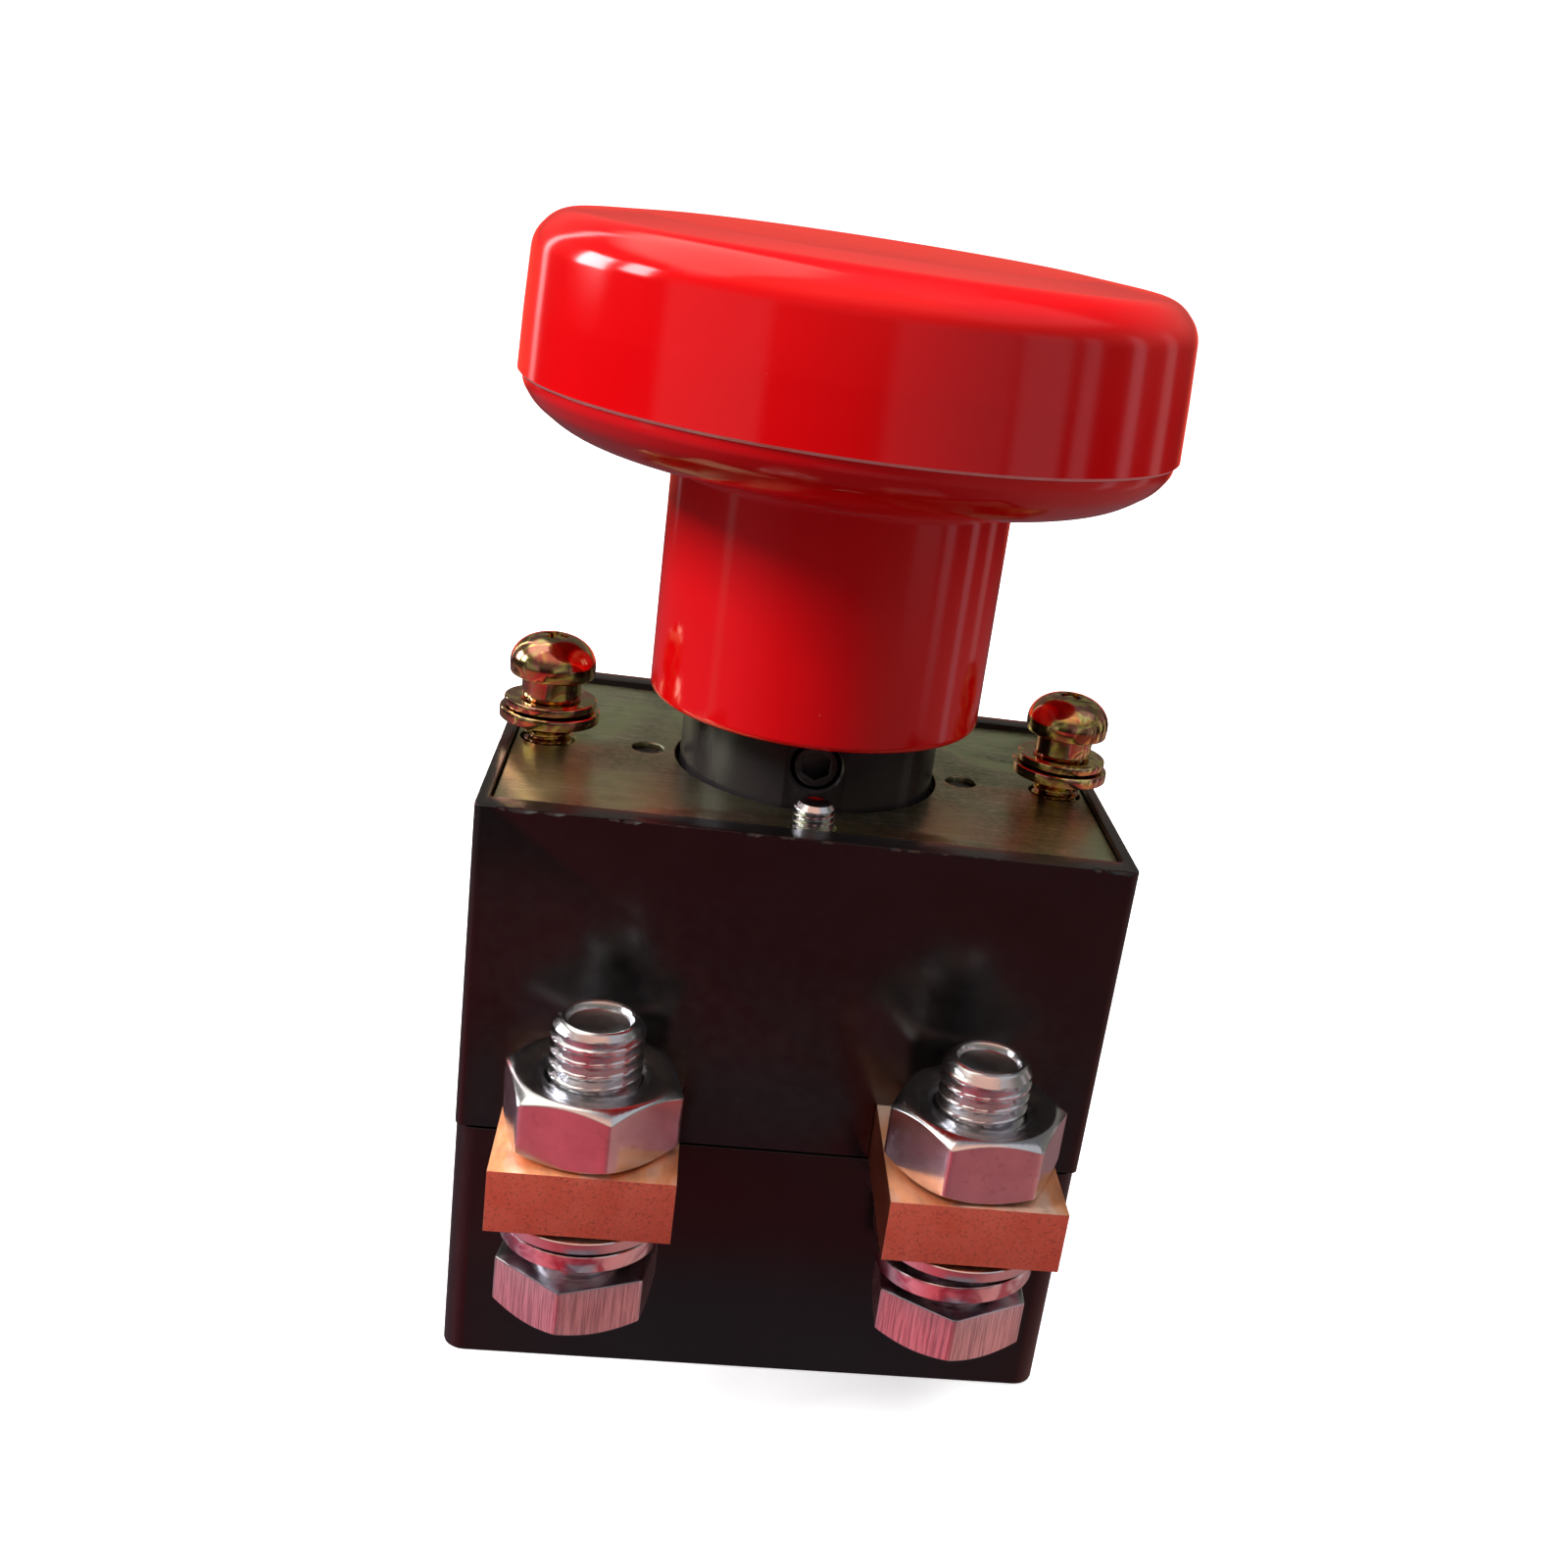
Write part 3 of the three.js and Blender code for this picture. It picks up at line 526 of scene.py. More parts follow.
def from_cad(node, look, width, heavy=None, heavy_width=0.0):
    """A CAD node's own shape with its flat faces joined and its sharp edges rounded.

    Edges for which heavy(middle in millimetres) is true get heavy_width.
    """
    source = frame["nodes"][node].data
    mesh = bpy.data.meshes.new(node + "_fine")
    mesh.from_pydata([v.co.copy() for v in source.vertices], [], [tuple(f.vertices) for f in source.polygons])
    shape = bmesh.new()
    shape.from_mesh(mesh)
    bmesh.ops.remove_doubles(shape, verts=shape.verts, dist=2e-6)
    bmesh.ops.dissolve_limit(
        shape, angle_limit=radians(0.5), verts=shape.verts, edges=shape.edges, use_dissolve_boundaries=False)
    bmesh.ops.recalc_face_normals(shape, faces=shape.faces)
    weight = shape.edges.layers.float.new("bevel_weight_edge")
    widest = max(width, heavy_width)
    for edge in shape.edges:
        if len(edge.link_faces) == 2 and edge.calc_face_angle() > SMOOTH_BELOW:
            middle = (edge.verts[0].co + edge.verts[1].co) / 2 / MM
            chosen = heavy_width if heavy and heavy(middle) else width
            edge[weight] = chosen / widest
    shape.to_mesh(mesh)
    shape.free()
    made = finished(node + "_fine", mesh, [look])
    with_modifier(
        made, "BEVEL", limit_method="WEIGHT", width=widest * MM, segments=3,
        use_clamp_overlap=True, harden_normals=False)
    made.data.shade_smooth()
    made.data.set_sharp_from_angle(angle=SMOOTH_BELOW)
    stand_for(made, node)
    return made


# ---------------------------------------------------------------- fasteners

HEX_SIDE_STEPS = 14
HEX_SHARPNESS = 90  # power of the rounded hexagon: higher is sharper
HEX_CHAMFER = tan(radians(30))  # slope of the chamfer cone
THREAD_STEPS = 16  # rings in one pitch
THREAD_DEPTH = 0.62  # share of the pitch


def hex_angles(turn):
    """Angles round a hexagon with a corner at `turn` degrees from -Y, closer together at the corners."""
    angles = []
    for side in range(6):
        middle = radians(turn - 90 + 30 + 60 * side)
        for step in range(HEX_SIDE_STEPS):
            share = 2 * step / HEX_SIDE_STEPS - 1
            angles.append(middle + radians(30) * sin(share * pi / 2))
    return angles


def hex_radius(angle, flat, turn):
    """Distance from the axis to a hexagon with slightly rounded corners."""
    first = radians(turn - 90 + 30)
    total = sum(abs(cos(angle - first - radians(60) * k)) ** HEX_SHARPNESS for k in range(3))
    return flat / total ** (1 / HEX_SHARPNESS)


def hex_ring(angles, flat, turn, z, circle_radius=None, slope=HEX_CHAMFER, inset=0.0):
    """A ring on the hexagon at height z, shifted along a chamfer cone that starts at circle_radius."""
    ring = []
    for angle in angles:
        radius = hex_radius(angle, flat, turn) - inset
        shift = max(0.0, radius - circle_radius) * slope if circle_radius else 0.0
        ring.append(Vector((radius * cos(angle), radius * sin(angle), z + shift)))
    return ring


def thread_rings(angles, major, pitch, bottom, top, chamfer):
    """Rings of a helical thread from bottom to top, cut back by a cone at the top end."""
    rings = []
    count = max(2, round((top - bottom) / pitch * THREAD_STEPS))
    depth = pitch * THREAD_DEPTH
    for index in range(count + 1):
        z = bottom + (top - bottom) * index / count
        ring = []
        for angle in angles:
            phase = (z / pitch - angle / (2 * pi)) % 1.0
            flank = abs(2 * phase - 1)
            groove = min(1.0, max(0.0, (flank - 0.12) / 0.68))
            fade = min(1.0, max(0.0, (top - z) / pitch / 0.6))
            cone = major - chamfer + 0.8 * (top - z)
            radius = min(major - depth * (1 - groove) * fade, cone)
            ring.append(Vector((radius * cos(angle), radius * sin(angle), z)))
        rings.append(ring)
    return rings


def hex_bolt(name, flat, turn, head, top, major, pitch):
    """An upright bolt: chamfered hexagon head below, threaded shank with a cupped end above."""
    angles = hex_angles(turn)
    bottom, seat = head
    cone = flat * 0.96
    rings = [circle(r, bottom, angles) for r in (cone * 0.5, cone)]
    rings.append(hex_ring(angles, flat, turn, bottom, cone, inset=0.12))
    rings.append(hex_ring(angles, flat, turn, bottom + 0.12, cone))
    rings.append(hex_ring(angles, flat, turn, seat - 0.2))
    rings.append(hex_ring(angles, flat, turn, seat - 0.05, inset=0.06))
    rings.append(hex_ring(angles, flat, turn, seat, inset=0.22))
    rings.append(circle(major - 0.6, seat, angles))
    rings.append(circle(major - 0.6, seat + 1.2, angles))
    rings.extend(thread_rings(angles, major, pitch, seat + 1.4, top - 0.25, 0.75))
    cup = ((-0.85, 0.14), (-1.15, 0.0), (-1.45, 0.1), (-1.65, 0.35), (-1.8, 0.8), (-2.4, 1.05), (-4.6, 1.1))
    rings.extend(circle(major + r, top - sink, angles) for r, sink in cup)
    return mesh_object(name, *loft(rings), [ZINC])


def hex_nut(name, flat, turn, bottom, top, bore):
    """A nut with a chamfered top and a countersunk bore."""
    angles = hex_angles(turn)
    cone = flat * 0.95
    outside = [circle(cone, bottom, angles)]
    outside.append(hex_ring(angles, flat, turn, bottom, cone, inset=0.1))
    outside.append(hex_ring(angles, flat, turn, bottom + 0.1, cone))
    outside.append(hex_ring(angles, flat, turn, top - 0.1, cone, slope=-HEX_CHAMFER))
    outside.append(hex_ring(angles, flat, turn, top, cone, slope=-HEX_CHAMFER, inset=0.1))
    outside.extend(circle(r, top, angles) for r in (cone, cone - 0.4, bore + 0.9))
    inside = [circle(bore + 0.75, top - 0.08, angles), circle(bore, top - 0.8, angles)]
    inside.extend([circle(bore, bottom + 0.6, angles), circle(bore + 0.6, bottom, angles)])
    return mesh_object(name, *loft(outside + inside, closed=True), [ZINC])


def split_washer(name, inner, outer, bottom, top, rise, gap, look, start):
    """A spring washer: a rounded rectangle swept round one helical turn, left open by a gap."""
    thick = top - bottom - rise
    soft = min(0.25, thick / 4)
    half = thick / 2
    corners = ((inner, -half), (outer, -half), (outer, half), (inner, half))
    section = filleted([(x, y, soft) for x, y in corners], 3)
    steps = 96
    half_gap = gap / ((inner + outer) / 2) / 2
    rings = []
    for index in range(steps + 1):
        share = index / steps
        angle = radians(start) + half_gap + (2 * pi - 2 * half_gap) * share
        lift = (bottom + top) / 2 + rise * (share - 0.5)
        rings.append([Vector((p.x * cos(angle), p.x * sin(angle), p.y + lift)) for p in section])
    return mesh_object(name, *loft(rings), [look])


def flat_washer(name, inner, outer, bottom, top, look):
    edge = min(0.22, (top - bottom) / 4)
    corners = [(inner, bottom, edge), (outer, bottom, edge), (outer, top, edge * 1.4), (inner, top, edge)]
    return turned(name, corners, look, 96, 3)


# ---------------------------------------------------------------- knob

LIP = 0.36  # the bevel along the lower edge of the cap, painted pale as a highlight
SKIRT_RADIUS = 20.5
SKIRT_BORE = 17.2
WEB_BORE = 5.2
WEB_BOTTOM = 104
WEB_TOP = 108


def knob_cap():
    """The domed cap: side wall with a slight taper, rounded shoulder and a faintly crowned top."""
    radius = radius_of("knob_cap")
    low, top = heights("knob_cap")
    seam = heights("knob_body")[1] + 0.03
    spigot_outer = radius - 4.4
    spigot_inner = radius - 6.8
    corners = [
        (spigot_inner, low, 0.3), (spigot_outer, low, 0.3), (spigot_outer, seam, 0),
        (radius - LIP, seam, 0), (radius, seam + LIP, 0),
        (radius - 0.28, seam + 7, 12), (radius - 0.75, top - 3.8, 4.5),
        (radius - 3.4, top - 0.9, 6), (radius - 13, top - 0.12, 10), (0, top, 0),
        (0, top - 2.5, 0), (radius - 12, top - 2.7, 3), (radius - 3.6, top - 5.5, 2),
        (radius - 2.8, seam + 3, 0), (spigot_inner, seam + 2, 0.3)]
    made = turned("knob_cap_fine", corners, RED, 256, 8)
    # The lower bevel takes the pale red, a painted highlight at the seam.
    made.data.materials.append(RED_HIGHLIGHT_EDGE)
    highest = (seam + LIP + 0.01) * MM
    innermost = (radius - 0.5) * MM
    for face in made.data.polygons:
        if face.center.z < highest and face.center.xy.length > innermost:
            face.material_index = 1
    stand_for(made, "knob_cap")


def knob_body():
    """Skirt, web and dished underside."""
    bottom, seam = heights("knob_body")
    radius = radius_of("knob_body")
    throat = bottom + 28
    corners = [
        (SKIRT_BORE, bottom, 0.6), (SKIRT_RADIUS, bottom, 0.9), (SKIRT_RADIUS, throat + 0.2, 1.4),
        (25.7, throat + 0.65, 10),
        (33.2, throat + 2.3, 14), (36.9, throat + 4.9, 6), (radius - 0.2, seam - 1.1, 2.5),
        (radius, seam, 0.05), (radius - 2.3, seam, 0.1), (35.2, 115, 0.5), (32, 113, 1),
        (20, 110.6, 1), (15, WEB_TOP, 0.5),
        (WEB_BORE, WEB_TOP, 0.2), (WEB_BORE, WEB_BOTTOM, 0.2), (SKIRT_BORE, WEB_BOTTOM, 0.5)]
    made = turned("knob_body_fine", corners, RED, 256, 8)
    stand_for(made, "knob_body")


# ---------------------------------------------------------------- housing, plate and boss

FRONT_CHIPS = 22
SIDE_CHIPS = 9
FOOT_ROUNDING = 1.2


def on_foot(middle):
    """Whether an edge's middle lies on the outer rim of the underside."""
    return middle.z < 0.01 and (abs(middle.x) > 34 or abs(middle.y) > 27)


def housings():
    from_cad("lower_housing", BLACK, 0.25, on_foot, FOOT_ROUNDING)
    upper = from_cad("upper_housing", BLACK, 0.22)
    combine(upper, rim_nicks(), "DIFFERENCE")
    tidied(upper.data)


def chip_tool(place, size, stretch):
    """A stretched ball that bites a chip out of an edge."""
    rings = []
    for tilt in (-60, -20, 20, 60):
        ring = []
        for turn in range(0, 360, 45):
            reach = size * cos(radians(tilt))
            x = reach * cos(radians(turn)) * stretch[0]
            y = reach * sin(radians(turn)) * stretch[1]
            ring.append(place + Vector((x, y, size * sin(radians(tilt)))))
        rings.append(ring)
    return mesh_object("tool", *loft(rings), [])


def rim_nicks():
    """Small chips along the moulded rim, most of them at the front."""
    chance = random.Random(11)
    low, high = low_high("upper_housing")
    corner_gap = 2
    outside = 0.12
    height = high.z + 0.1
    tools = []
    for _ in range(FRONT_CHIPS):
        place = Vector((chance.uniform(low.x + corner_gap, high.x - corner_gap), low.y - outside, height))
        tools.append(chip_tool(place, chance.uniform(0.25, 0.6), (chance.uniform(1.5, 4.5), 1)))
    for _ in range(SIDE_CHIPS):
        side = chance.choice((low.x - outside, high.x + outside))
        place = Vector((side, chance.uniform(low.y, high.y), height))
        tools.append(chip_tool(place, chance.uniform(0.25, 0.5), (1, chance.uniform(1.5, 4.5))))
    return tools


PLATE_CORNER = 0.5
PLATE_EDGE = 0.15
BOSS_HOLE = 16.6
FLANGE_SCREW_HOLE = 2.0
MOUNTING_HOLE = 3.4
TIE_HOLE = 2.7


def outline_box(half_width, half_depth, radius):
    corners = ((1, -1), (1, 1), (-1, 1), (-1, -1))
    return filleted([(x * half_width, y * half_depth, radius) for x, y in corners], 6)


def plate_with_holes(name, outline, holes, bottom, top, edge, look):
    """A flat sheet with round holes and softly rounded edges, from filled 2-D outlines."""
    curve = bpy.data.curves.new(name, "CURVE")
    curve.dimensions = "2D"
    curve.fill_mode = "BOTH"
    for loop in [outline, *holes]:
        spline = curve.splines.new("POLY")
        spline.points.add(len(loop) - 1)
        spline.use_cyclic_u = True
        for point, place in zip(spline.points, loop):
            point.co = (place.x * MM, place.y * MM, 0, 1)
    curve.extrude = ((top - bottom) / 2 - edge) * MM
    curve.bevel_depth = edge * MM
    curve.bevel_resolution = 2
    curve.offset = -edge * MM
    holder = bpy.data.objects.new("outline", curve)
    bpy.context.scene.collection.objects.link(holder)
    graph = bpy.context.evaluated_depsgraph_get()
    mesh = bpy.data.meshes.new_from_object(holder.evaluated_get(graph))
    bpy.data.objects.remove(holder)
    made = finished(name, mesh, [look])
    return moved(made, z=(bottom + top) / 2)


def round_hole(x, y, radius, segments=48):
    return [Vector((x + radius * cos(a), y + radius * sin(a))) for a in even_angles(segments)]


def top_plate():
    low, high = low_high("top_plate")
    flange_x = centre("flange_screw_right").x
    mount_x = centre("mounting_screw_right").x
    tie_y = centre("tie_screw_rear").y
    holes = [round_hole(0, 0, BOSS_HOLE, 160)]
    for side in SIDES.values():
        holes.append(round_hole(side * flange_x, 0, FLANGE_SCREW_HOLE))
        holes.append(round_hole(side * mount_x, 0, MOUNTING_HOLE))
    for end in ENDS.values():
        holes.append(round_hole(0, end * tie_y, TIE_HOLE))
    outline = outline_box(high.x, high.y, PLATE_CORNER)
    made = plate_with_holes("top_plate_fine", outline, holes, low.z, high.z, PLATE_EDGE, PLATE)
    stand_for(made, "top_plate")


BOSS_RADIUS = 16
BOSS_BORE = 6.3
BOSS_STEM = 11
BOSS_COLLAR = 15.8
BOSS_FLAT = 15.64  # distance of the two flats from the axis
FLANGE_BOTTOM = 65
FLANGE_SCREW_X = 20
FLANGE_HALF_DEPTH = 5
DETENT_BORE = 3.05
DETENT_SINK = 3.6


def boss_tower(bottom, top, flange_top):
    return turned(
        "guide_boss_fine",
        [(BOSS_BORE, bottom, 0.3), (BOSS_STEM, bottom, 0.4), (BOSS_STEM, FLANGE_BOTTOM, 0),
         (BOSS_COLLAR, FLANGE_BOTTOM, 0), (BOSS_COLLAR, flange_top, 0), (BOSS_RADIUS, flange_top, 0),
         (BOSS_RADIUS, top, 0.8), (BOSS_BORE, top, 0.5)],
        BOSS, 192, 4)


def boss_arms(flange_top):
    """The oblong flange under the plate, with a round end about each flange screw."""
    half = FLANGE_HALF_DEPTH
    reach = FLANGE_SCREW_X + half
    outline = filleted([
        (FLANGE_SCREW_X, -half, 0), (reach, -half, half), (reach, half, half), (FLANGE_SCREW_X, half, 0),
        (-FLANGE_SCREW_X, half, 0), (-reach, half, half), (-reach, -half, half), (-FLANGE_SCREW_X, -half, 0)])
    rings = [[Vector((p.x, p.y, z)) for p in outline] for z in (FLANGE_BOTTOM, flange_top)]
    arms = mesh_object("tool", *loft(rings), [BOSS])
    holes = [rod(BOSS_BORE, 60, 75, 96)]
    holes.extend(moved(rod(FLANGE_SCREW_HOLE, 60, 75), x=side * FLANGE_SCREW_X) for side in SIDES.values())
    return combine(arms, holes, "DIFFERENCE")


def guide_boss():
    """The round tower with its two flats and detent bores, on its oblong flange."""
    bottom, top = heights("guide_boss")
    detent_z = centre("detent_screw_front").z
    flange_top = heights("top_plate")[0] - 0.1
    tower = boss_tower(bottom, top, flange_top)
    sink = [(0, 15.3, 0), (3.0, 15.3, 0), (DETENT_SINK, 15.9, 0), (DETENT_SINK, 18, 0), (0, 18, 0)]
    cuts = []
    for end in ENDS.values():
        y = sorted((end * BOSS_FLAT, end * 18))
        cuts.append(box_tool((-18, 18), y, (flange_top + 0.1, top + 1)))
        bore = rod(DETENT_BORE, 5, 18)
        cuts.append(moved(bore, z=detent_z, turn=(-end * 90, 0, 0)))
        rim = turned("tool", sink, BOSS, 64)
        cuts.append(moved(rim, z=detent_z, turn=(-end * 90, 0, 0)))
    combine(tower, cuts, "DIFFERENCE")
    combine(tower, [boss_arms(flange_top)], "UNION")
    tidied(tower.data)
    stand_for(tower, "guide_boss")


GRUB_SOCKET = 1.6  # half the width across flats


def grub_screw(end_name, end):
    """The hexagon-socket grub screw that sets the detent spring."""
    node = "detent_screw_" + end_name
    low, high = low_high(node)
    near, far = sorted((abs(low.y), abs(high.y)))
    angles = even_angles(72)
    rings = [circle(1.2, near, angles)]
    rings.append(circle(2.4, near, angles))
    rings.extend(thread_rings(angles, 2.95, 1.0, near + 0.1, far - 0.1, 0.35))
    rings.append(circle(2.5, far, angles))
    rings.append(circle(1.95, far, angles))
    rings.extend(hex_ring(angles, GRUB_SOCKET, 0, height) for height in (far - 0.12, far - 1.6))
    made = mesh_object(node + "_fine", *loft(rings), [BLACK_OXIDE])
    moved(made, z=(low.z + high.z) / 2, turn=(-end * 90, 0, 0))
    stand_for(made, node)


# ---------------------------------------------------------------- screws

def cross_recess(depth, reach, width):
    """Tool for a cross recess whose four wings narrow towards the bottom."""
    wings = []
    for turn in (0, 90):
        corners = ((-reach, -width), (reach, -width), (reach, width), (-reach, width))
        top = [Vector((x, y, 0.6)) for x, y in corners]
        low = [Vector((p.x * 0.35, p.y * 0.6, -depth)) for p in top]
        wings.append(moved(mesh_object("tool", *loft([low, top]), []), turn=(0, 0, turn)))
    return combine(wings[0], wings[1:], "UNION")


PAN_RADIUS = 5.2
PAN_HEIGHT = 5.1
PAN_STEPS = 14
COLLAR = 3.6
COLLAR_DROP = 2.7


def mounting_screw(side_name, side):
    """Pan-head cross-recess screw with a plain neck under the head and a threaded end."""
    node = "mounting_screw_" + side_name
    low, high = low_high(node)
    bottom, top = low.z, high.z
    head = top - PAN_HEIGHT
    neck = head - COLLAR_DROP
    angles = even_angles(80)
    rings = [circle(1.0, bottom, angles), circle(2.2, bottom, angles)]
    rings.extend(thread_rings(angles, 3.0, 1.0, bottom + 0.1, neck, 0.4))
    collar = ((3.0, neck + 0.1), (COLLAR, neck + 0.2), (COLLAR, head - 0.2), (COLLAR + 0.2, head))
    rings.extend(circle(r, z, angles) for r, z in collar)
    rim = filleted([(4.2, head, 0), (PAN_RADIUS - 0.1, head, 0.4), (PAN_RADIUS, head + 1.3, 0)], 4)
    rings.extend(circle(p.x, p.y, angles) for p in rim)
    edge = head + 1.4
    for step in range(1, PAN_STEPS):
        slope = step / PAN_STEPS * pi / 2
        radius = PAN_RADIUS * cos(slope) ** 0.85
        rings.append(circle(radius, edge + (top - edge) * sin(slope), angles))
    rings.append(circle(0.2, top, angles))
    made = mesh_object(node + "_fine", *loft(rings), [YELLOW])
    recess = moved(cross_recess(2.1, 1.9, 0.5), z=top - 0.2, turn=(0, 0, 20 * side))
    combine(made, [recess], "DIFFERENCE")
    moved(made, x=(low.x + high.x) / 2)
    tidied(made.data)
    stand_for(made, node)


def mounting_washers(side_name):
    flat, spring = ("mounting_" + kind + "_washer_" + side_name for kind in ("flat", "spring"))
    x = centre(flat).x
    low, high = heights(flat)
    made = moved(flat_washer(flat + "_fine", 3.2, 6.1, low, high, YELLOW), x=x)
    stand_for(made, flat)
    low, high = heights(spring)
    made = split_washer(
        spring + "_fine", 3.15, 5.6, low, high, rise=0.25, gap=0.5, look=YELLOW, start=80)
    stand_for(moved(made, x=x), spring)


TIE_HEAD_RADIUS = 4.4
TIE_HEAD_HEIGHT = 3.3
TIE_SHANK = 2.3
TIE_THREAD_LENGTH = 12


def tie_screw(end_name):
    """Long slotted screw from the base up through both halves; its threaded end stands out on top."""
    node = "tie_screw_" + end_name
    bottom, top = heights(node)
    under_head = bottom + TIE_HEAD_HEIGHT
    angles = even_angles(72)
    head = filleted([
        (0.5, bottom, 0), (TIE_HEAD_RADIUS, bottom, 0.5), (TIE_HEAD_RADIUS, under_head, 0.2),
        (TIE_SHANK, under_head, 0)], 4)
    rings = [circle(p.x, p.y, angles) for p in head]
    rings.append(circle(TIE_SHANK, top - TIE_THREAD_LENGTH, angles))
    rings.extend(thread_rings(angles, 2.45, 0.8, top - TIE_THREAD_LENGTH + 0.2, top, 0.55))
    rings.extend(circle(r, top - sink, angles) for r, sink in ((1.6, 0.0), (1.2, 0.25), (0.4, 0.4)))
    made = mesh_object(node + "_fine", *loft(rings), [ZINC])
    combine(made, [box_tool((-0.55, 0.55), (-5, 5), (bottom - 1, bottom + 1.1))], "DIFFERENCE")
    moved(made, y=centre(node).y)
    tidied(made.data)
    stand_for(made, node)


# ---------------------------------------------------------------- terminals

HEAD_FLAT = 8.4  # half the width across flats
HEAD_HEIGHT = 6.4
NUT_FLAT = 9.0
NUT_BORE = 5.3
BOLT_RADIUS = 5.15
BOLT_PITCH = 1.5
# Degrees by which a corner of the hexagon is turned from the front.
HEAD_TURN = {"left": -9, "right": -3}
NUT_TURN = {"left": 14, "right": -25}
# Degrees about X, Y and Z by which a spring washer sits askew.
WASHER_TILT = {"left": (1.2, 0.6, 0), "right": (-3.5, -3.0, 0)}


def terminal_bar(side_name):
    """Copper bar: polished faces, sawn front end, sides darkened with painted shade, softened edges."""
    node = "terminal_bar_" + side_name
    made = from_cad(node, COPPER, 0.45)
    made.data.materials.append(COPPER_SAWN)
    made.data.materials.append(COPPER_SIDE_SHADED)
    # Front faces take the sawn copper; side faces take the copper darkened with painted shade.
    for face in made.data.polygons:
        if face.normal.y < -0.8:
            face.material_index = 1
        elif abs(face.normal.x) > 0.8:
            face.material_index = 2


def terminal_hardware(side_name):
    bolt, nut, flat, spring = (
        "terminal_" + kind + "_" + side_name for kind in ("bolt", "nut", "flat_washer", "spring_washer"))
    place = centre(flat)
    nut_low, nut_high = heights(nut)
    bolt_low, bolt_high = heights(bolt)
    head = (bolt_low, bolt_low + HEAD_HEIGHT)
    made = hex_bolt(bolt + "_fine", HEAD_FLAT, HEAD_TURN[side_name], head, bolt_high, BOLT_RADIUS, BOLT_PITCH)
    made.data.materials.append(ZINC_BRUSHED)
    seat = (bolt_low + HEAD_HEIGHT - 0.2) * MM
    for face in made.data.polygons:
        if abs(face.normal.z) < 0.3 and face.center.z < seat:
            face.material_index = 1
    stand_for(moved(made, place.x, place.y), bolt)
    made = hex_nut(nut + "_fine", NUT_FLAT, NUT_TURN[side_name], nut_low, nut_high, NUT_BORE)
    stand_for(moved(made, place.x, place.y), nut)
    low, high = heights(flat)
    made = flat_washer(flat + "_fine", 5.5, 10, low, high, ZINC)
    stand_for(moved(made, place.x, place.y), flat)
    low, high = heights(spring)
    middle = (low + high) / 2
    # The spring washer's crimson and white blotches are painted reflections.
    made = split_washer(
        spring + "_fine", 5.6, 9.2, low - middle, high - middle,
        rise=0.3, gap=0.9, look=ZINC_PAINTED_REFLECTIONS, start=120)
    moved(made, turn=WASHER_TILT[side_name])
    stand_for(moved(made, place.x, place.y, middle), spring)


# ---------------------------------------------------------------- inside

def inner_pieces():
    """Every node that is still shown as CAD gets its own finish."""
    shown = [name for name, node in frame["nodes"].items() if not node.hide_render]
    for name in sorted(shown):
        look = BLACK_OXIDE if name.startswith("flange_screw") else INNER_LOOK[SLOT_OF[name]]
        mesh = frame["nodes"][name].data
        mesh.materials.clear()
        mesh.materials.append(look)
        mesh.shade_smooth()
        mesh.set_sharp_from_angle(angle=SMOOTH_BELOW)


# ---------------------------------------------------------------- studio

CAMERA_PLACE = (-0.016346, -0.208566, 0.142549)
CAMERA_PITCH = -21.03  # degrees: nose down, then rolled and turned about the object's axes
CAMERA_ROLL = -8.88
CAMERA_YAW = -8.14
CAMERA_LENS = 39.79
CAMERA_SHIFT = (-0.0734, 0.0419)
STUDIO_RADIUS = 2.2
STUDIO_HEIGHT = 2.4
STUDIO_BEND = 0.8  # radius of the curve between floor and wall
DOME_RADIUS = 1700  # millimetres
LIGHT_TARGET = (0, 0, 0.08)


def camera():
    lens = bpy.data.cameras.new("camera")
    lens.lens = CAMERA_LENS
    lens.sensor_width = 36
    lens.shift_x, lens.shift_y = CAMERA_SHIFT
    lens.clip_start = 0.01
    made = bpy.data.objects.new("camera", lens)
    bpy.context.scene.collection.objects.link(made)
    turn = (
        Matrix.Rotation(radians(CAMERA_YAW), 4, "Z")
        @ Matrix.Rotation(radians(CAMERA_PITCH), 4, "X")
        @ Matrix.Rotation(radians(CAMERA_ROLL), 4, "Y"))
    upright = Matrix.Rotation(pi / 2, 4, "X")
    made.matrix_world = Matrix.Translation(CAMERA_PLACE) @ turn @ upright
    bpy.context.scene.camera = made


def studio():
    """A round pale sweep: flat floor that curves up into a wall on every side."""
    flat = STUDIO_RADIUS - STUDIO_BEND
    outline = [(0.0, 0.0), (flat, 0.0)]
    for step in range(1, 13):
        angle = step / 12 * pi / 2
        outline.append((flat + STUDIO_BEND * sin(angle), STUDIO_BEND - STUDIO_BEND * cos(angle)))
    outline.append((STUDIO_RADIUS, STUDIO_HEIGHT))
    angles = even_angles(96)
    rings = [circle(max(r, 0.001) / MM, z / MM, angles) for r, z in outline]
    points, faces = loft(rings)
    floor = mesh_object("floor", points, faces[:-1], [pale_floor()])
    floor.data.flip_normals()
    for kind in ("diffuse", "glossy", "shadow"):
        setattr(floor, "visible_" + kind, False)


